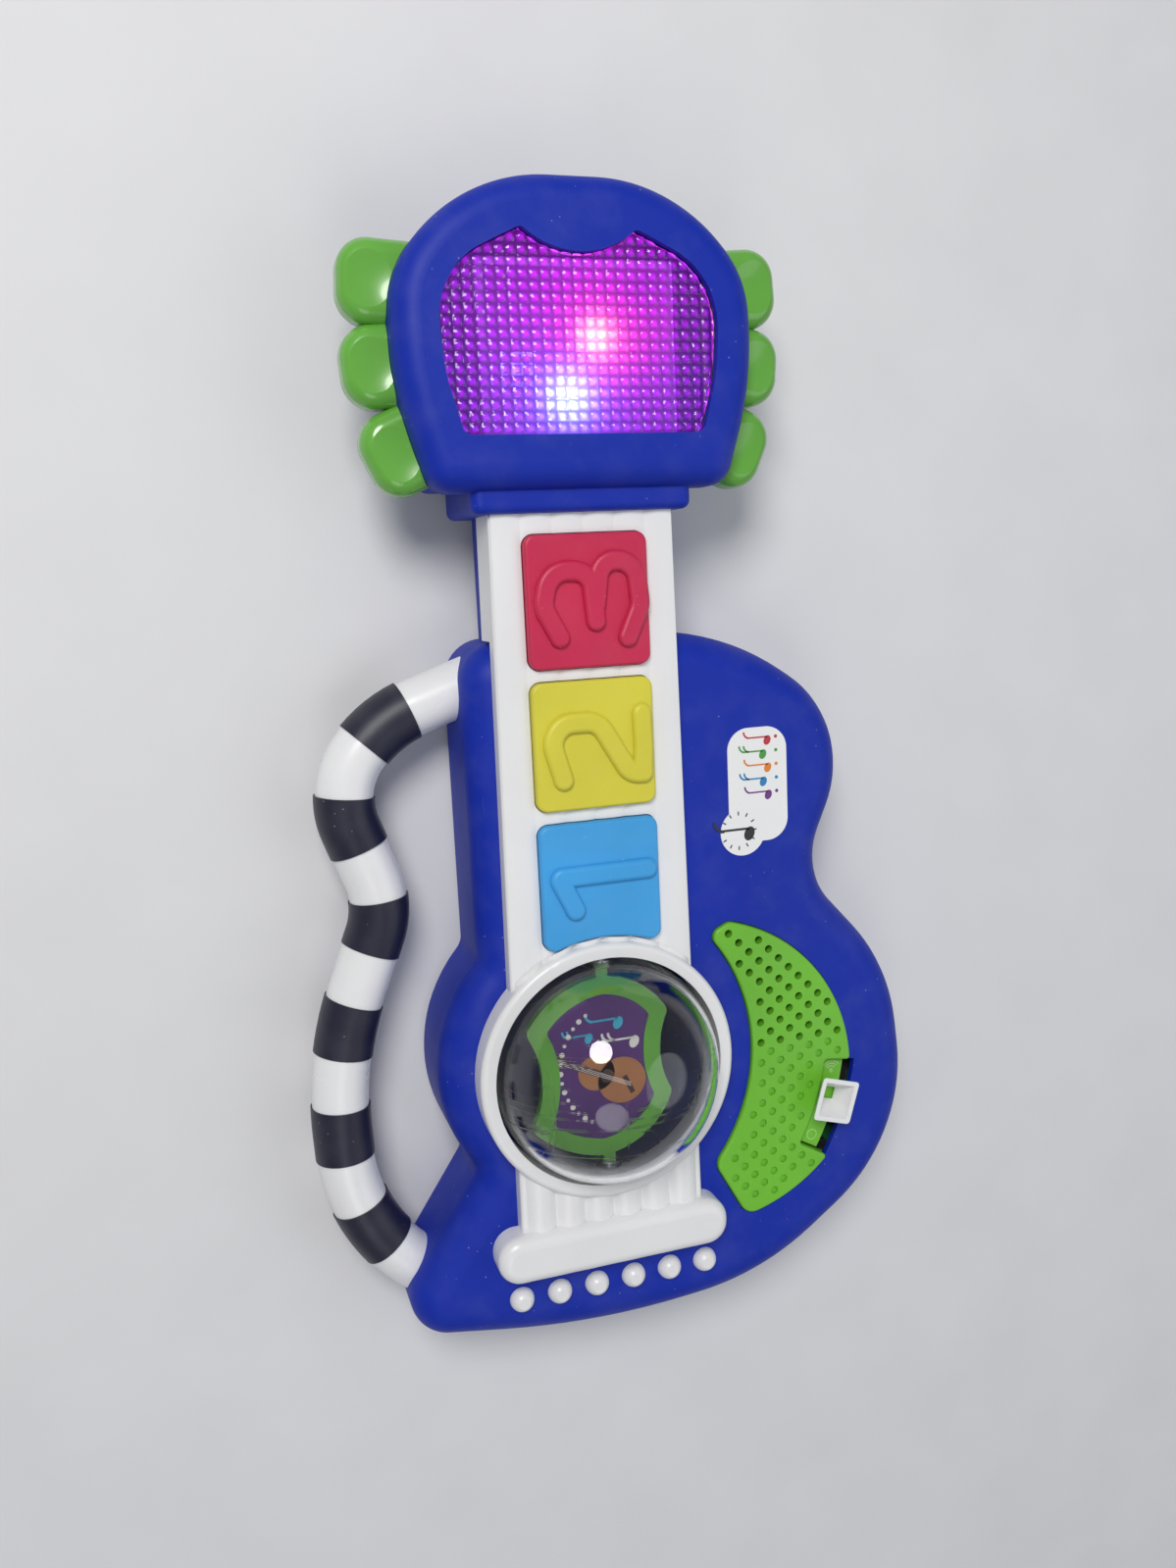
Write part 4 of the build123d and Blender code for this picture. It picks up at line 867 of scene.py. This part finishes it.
@dataclass
class RollerBall:
    """Clear ball with the framed picture inside it."""

    clear: Clear = Clear("clear_scratched_ball", (0.97, 0.98, 1.0), 0.015, 1.0, 0.25)
    green: Moulded = Moulded("lime_green_frame", (0.13, 0.42, 0.035), 0.3, coat=0.3)
    panel: Moulded = Moulded("purple_picture_panel", (0.10, 0.03, 0.17), 0.25, grain=0.05,
                             mottle=0.25, dust=0.1, wear=0.0)

    def build(self) -> None:
        """Dresses the ball, its frame and its picture panel."""
        dress(self.clear.material(), "ball_front", "ball_rear")
        dress(self.green.material(), "paddle_frame")
        dress(self.panel.material(), "paddle_panel")
        self.picture()

    def picture(self) -> None:
        """Prints a plain guitar with notes and dots on the picture panel, on both sides."""
        low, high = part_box("paddle_panel")
        thick = PICTURE_RISE
        for side, base, way in (("front", high.z, 1), ("back", low.z - thick, -1)):
            over = base + way * thick * 0.6
            body = Print(f"picture_{side}_guitar", base, thick)
            body.disc(5.2, -5.4, 7.4, 1.06, 160.0, 13)
            body.disc(-3.0, -1.8, 5.6, 1.05, 160.0, 11)
            body.piece(ink(f"picture_tan_{side}", (0.42, 0.17, 0.06)), "ball", "picture_panel")
            neck = Print(f"picture_{side}_neck", over, thick)
            neck.line([(-2.0, -2.3), (-14.0, 3.2)], 2.0)
            neck.line([(-13.6, 3.0), (-17.0, 4.6)], 3.6)
            neck.disc(0.4, -3.3, 2.2)
            neck.line([(8.6, -10.0), (6.0, -4.2)], 1.5)
            neck.piece(ink(f"picture_brown_{side}", (0.07, 0.025, 0.015)), "ball",
                       "picture_panel")
            pale = Print(f"picture_{side}_pale", over + way * thick * 0.6, thick)
            for shift in (-0.55, 0.0, 0.55):
                pale.line([(8.0, -7.2 + shift), (-15.4, 3.8 + shift)], 0.16)
            for angle in range(118, 246, 9):
                c, k = polar(1.0, angle)
                pale.disc(2.0 + 16.4 * c, 19.2 * k, 0.85 if angle % 2 else 0.6, count=5)
            pale.note(9.6, 6.4, 1.5, 2)
            pale.piece(ink(f"picture_cream_{side}", (0.80, 0.76, 0.70)), "ball",
                       "picture_panel")
            cool = Print(f"picture_{side}_notes", over, thick)
            cool.note(4.6, 13.2, 1.5)
            cool.note(-5.0, 9.6, 1.2, 2)
            cool.piece(ink(f"picture_aqua_{side}", (0.05, 0.42, 0.60)), "ball",
                       "picture_panel")


@dataclass
class Handle:
    """White handle loop with dark moulded bands."""

    white: Moulded = Moulded("handle_white", (0.82, 0.82, 0.82), 0.26, grain=0.08,
                             mottle=0.03, dust=0.25, wear=0.0, subsurface=0.08)
    dark: Moulded = Moulded("navy_black_band", (0.012, 0.012, 0.030), 0.42, grain=0.3,
                            dust=0.5, wear=0.2, wear_colour=(0.1, 0.1, 0.14))

    def build(self) -> None:
        """Dresses the handle."""
        dress(self.white.material(), "handle_tube")
        dress(self.dark.material(), "grip_bands")


@dataclass
class Headstock:
    """Lit window, its lining and lamps, and the two green tuners."""

    glass: Clear = Clear("bumped_window", (0.78, 0.62, 1.0), 0.06, 0.15, 0.15, glow=1.05)
    lining: Lit = Lit("lit_lining", 0.45)
    green: Moulded = Moulded("glossy_lime_tuner", (0.13, 0.40, 0.05), 0.22, grain=0.06,
                             dust=0.3, wear=0.1, wear_colour=(0.3, 0.6, 0.2), coat=0.4,
                             subsurface=0.05)
    red: Lamp = Lamp("red_lamp", (1.0, 0.25, 0.06), 0.8)
    white: Lamp = Lamp("white_lamp", (0.6, 0.9, 1.0), 0.8)
    blue: Lamp = Lamp("blue_lamp", (0.1, 0.2, 1.0), 0.4)
    base_y: float = 172.6
    foot: Point2 = (34.5, 14.7)
    side: tuple[float, float, float] = (38.7, 30.3, 40.0)
    shoulder: tuple[float, float, float] = (40.5, 56.9, 22.0)
    peak: Point2 = (16.3, 68.2)
    dip_y: float = 62.1
    bump_pitch: float = 3.1
    bump_rise: float = 0.75
    columns: int = 169
    rows: int = 113

    def build(self) -> None:
        """Dresses the head's contents and the tuners."""
        self.lens()
        dress(self.lining.material(), "light_box", "led_board")
        dress(self.green.material(), "tuner_left", "tuner_right")
        dress(self.red.material(), "lamp_red")
        dress(self.white.material(), "lamp_white")
        dress(self.blue.material(), "lamp_blue")

    def lens_outline(self) -> tuple[np.ndarray, np.ndarray, np.ndarray, np.ndarray]:
        """The window's lower, upper, left and right edges, spaced evenly by length.

        The right edge bends round the side and half of the shoulder. The upper edge goes on
        round the shoulder to the peak, and down an arc to the dip in the middle.
        """
        bend = rounded_bend(self.foot, self.side[:2], self.shoulder[:2], self.side[2], 12)
        turn = rounded_bend(self.side[:2], self.shoulder[:2], self.peak, self.shoulder[2], 33)
        right = spaced(np.concatenate([[self.foot], bend, turn[:17]]), self.rows)
        half, fall = self.peak[0], self.peak[1] - self.dip_y
        radius = (half * half + fall * fall) / (2 * fall)
        x = np.linspace(half, -half, 41)
        dip = np.stack([x, self.dip_y + radius - np.sqrt(radius ** 2 - x ** 2)], axis=1)
        there = np.concatenate([turn[16:], dip])
        mirror = turn[16:][::-1] * (-1, 1)
        high = spaced(np.concatenate([there, mirror])[::-1], self.columns)
        low = np.stack([np.linspace(-self.foot[0], self.foot[0], self.columns),
                        np.full(self.columns, self.foot[1])], axis=1)
        return low, high, right * (-1, 1), right

    def lens(self) -> None:
        """Makes the clear window: a plate whose face is a grid of small square pillows.

        Each pillow's rise is the square root of |cos(pi x / pitch) cos(pi y / pitch)|.
        """
        under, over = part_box("light_window")
        lattice = four_sided_patch(*self.lens_outline())
        x, y = lattice[..., 0], lattice[..., 1] + self.base_y
        wave = np.abs(np.cos(np.pi * x / self.bump_pitch) * np.cos(np.pi * y / self.bump_pitch))
        top = over.z - (self.bump_rise - self.bump_rise * np.sqrt(wave)) * MM
        points, faces = slab_arrays(x * MM, y * MM, top, np.full_like(x, under.z + 0.1 * MM))
        lens = mesh_object("bumped_light_window", points, faces)
        lens.data.materials.append(self.glass.material())
        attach(lens, "root")
        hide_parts("light_window")
        LOG.info("made %s", lens.name)


@dataclass
class SpeakerAndSwitch:
    """Green grille with its switch step, and the white switch knob."""

    green: Moulded = Moulded("satin_lime_grille", (0.155, 0.50, 0.025), 0.38, grain=0.25,
                             dust=0.35, wear=0.3, wear_colour=(0.35, 0.65, 0.2))
    white: Moulded = Moulded("switch_white", (0.82, 0.82, 0.82), 0.28, grain=0.08,
                             mottle=0.02, wear=0.0, subsurface=0.08)
    step_z: float = 35.2
    marks_radius: float = 81.2

    def build(self) -> None:
        """Dresses the grille and the knob."""
        dress(self.green.material(), "speaker_grille")
        dress(self.white.material(), "switch_knob")
        self.icons()

    def icons(self) -> None:
        """Raises a plain ring and three sound waves on the switch's step."""
        marks = Print("switch_marks", self.step_z * MM, 0.25 * MM)
        x, y = polar(self.marks_radius, -27.6)
        marks.arc(x, y, 1.7, 0, 354, 0.5, 33)
        x, y = polar(self.marks_radius, -11.8)
        marks.disc(x, y, 0.7, 1.2, 90, 5)
        for radius in (1.6, 2.5, 3.4):
            marks.arc(x, y, radius, 35, 145, 0.45)
        pale = Moulded("switch_mark_green", (0.30, 0.62, 0.12), 0.35, grain=0.2)
        marks.piece(pale.material(), "root", "grille_green")


# ------------------------------------------------------------------ studio
@dataclass
class Studio:
    """Pale floor, soft lights and the camera."""

    eye: Point = (-0.1138, 0.1496, 0.3939)
    look: Point = (0.2985, -0.1636, -0.9403)
    up: Point = (0.0945, 0.9854, -0.1414)
    lens: float = 29.27
    lights: list[tuple[str, Point, float, float, Colour]] = field(default_factory=lambda: [
        ("key_light", (-0.35, 0.65, 0.95), 0.45, 8.5, (1.0, 0.98, 0.96)),
        ("fill_light", (0.75, -0.1, 0.8), 0.9, 2.0, (0.93, 0.96, 1.0)),
        ("front_light", (-0.2, -0.5, 0.9), 0.5, 1.2, (1.0, 1.0, 1.0)),
    ])

    def build(self) -> None:
        """Lays the floor, hangs the lights and places the camera."""
        self.floor()
        self.world()
        for name, place, size, power, colour in self.lights:
            self.light(name, place, size, power, colour)
        self.camera()

    def floor(self) -> None:
        """Plain pale floor: a plane on the rest plane, a few metres wide."""
        x, y = np.meshgrid(np.linspace(-3, 3, 2), np.linspace(-3, 3, 2))
        points = np.stack([x, y, np.zeros_like(x)], axis=-1).reshape(-1, 3)
        floor = mesh_object("floor", points, grid_faces(2, 2), smooth=False)
        finish = Moulded("pale_floor", (0.72, 0.72, 0.73), 0.7, mottle=0.02, dust=0.0, wear=0.0)
        floor.data.materials.append(finish.material())

    def world(self) -> None:
        """Even pale light from all round."""
        world = bpy.data.worlds.new("studio_air")
        world.use_nodes = True
        background = world.node_tree.nodes["Background"]
        background.inputs["Color"].default_value = (0.80, 0.84, 0.92, 1.0)
        background.inputs["Strength"].default_value = 0.28
        bpy.context.scene.world = world

    def light(self, name: str, place: Point, size: float, power: float, colour: Colour) -> None:
        """Hangs a round soft light that faces the middle of the toy.

        Args:
            name: Name of the light.
            place: Where it hangs, in metres.
            size: Its diameter in metres.
            power: Its power in watts.
            colour: Its colour.
        """
        data = bpy.data.lights.new(name, "AREA")
        data.shape, data.size = "DISK", size
        data.energy, data.color = power, colour
        lamp = bpy.data.objects.new(name, data)
        lamp.location = place
        aim = Vector((0.0, 0.08, 0.0)) - lamp.location
        lamp.rotation_mode = "QUATERNION"
        lamp.rotation_quaternion = aim.to_track_quat("-Z", "Y")
        bpy.context.scene.collection.objects.link(lamp)

    def camera(self) -> None:
        """Places the camera from its eye point, its line of sight and its up direction."""
        back = -Vector(self.look).normalized()
        right = Vector(self.up).cross(back).normalized()
        top = back.cross(right)
        data = bpy.data.cameras.new("camera")
        data.lens, data.sensor_width = self.lens, 36.0
        camera = bpy.data.objects.new("camera", data)
        rows = [[right[i], top[i], back[i], self.eye[i]] for i in range(3)]
        camera.matrix_world = Matrix([*rows, [0.0, 0.0, 0.0, 1.0]])
        bpy.context.scene.collection.objects.link(camera)
        bpy.context.scene.camera = camera


def main() -> None:
    """Builds the studio and every sub-assembly in order."""
    logging.basicConfig(level=logging.INFO, format="%(name)s: %(message)s")
    bpy.context.scene.view_settings.view_transform = "Standard"
    Studio().build()
    for assembly in (Case(), Neck(), Keys(), RollerBall(), Handle(), Headstock(),
                     SpeakerAndSwitch()):
        assembly.build()
        LOG.info("built %s", type(assembly).__name__)


if __name__ == "__main__":
    main()
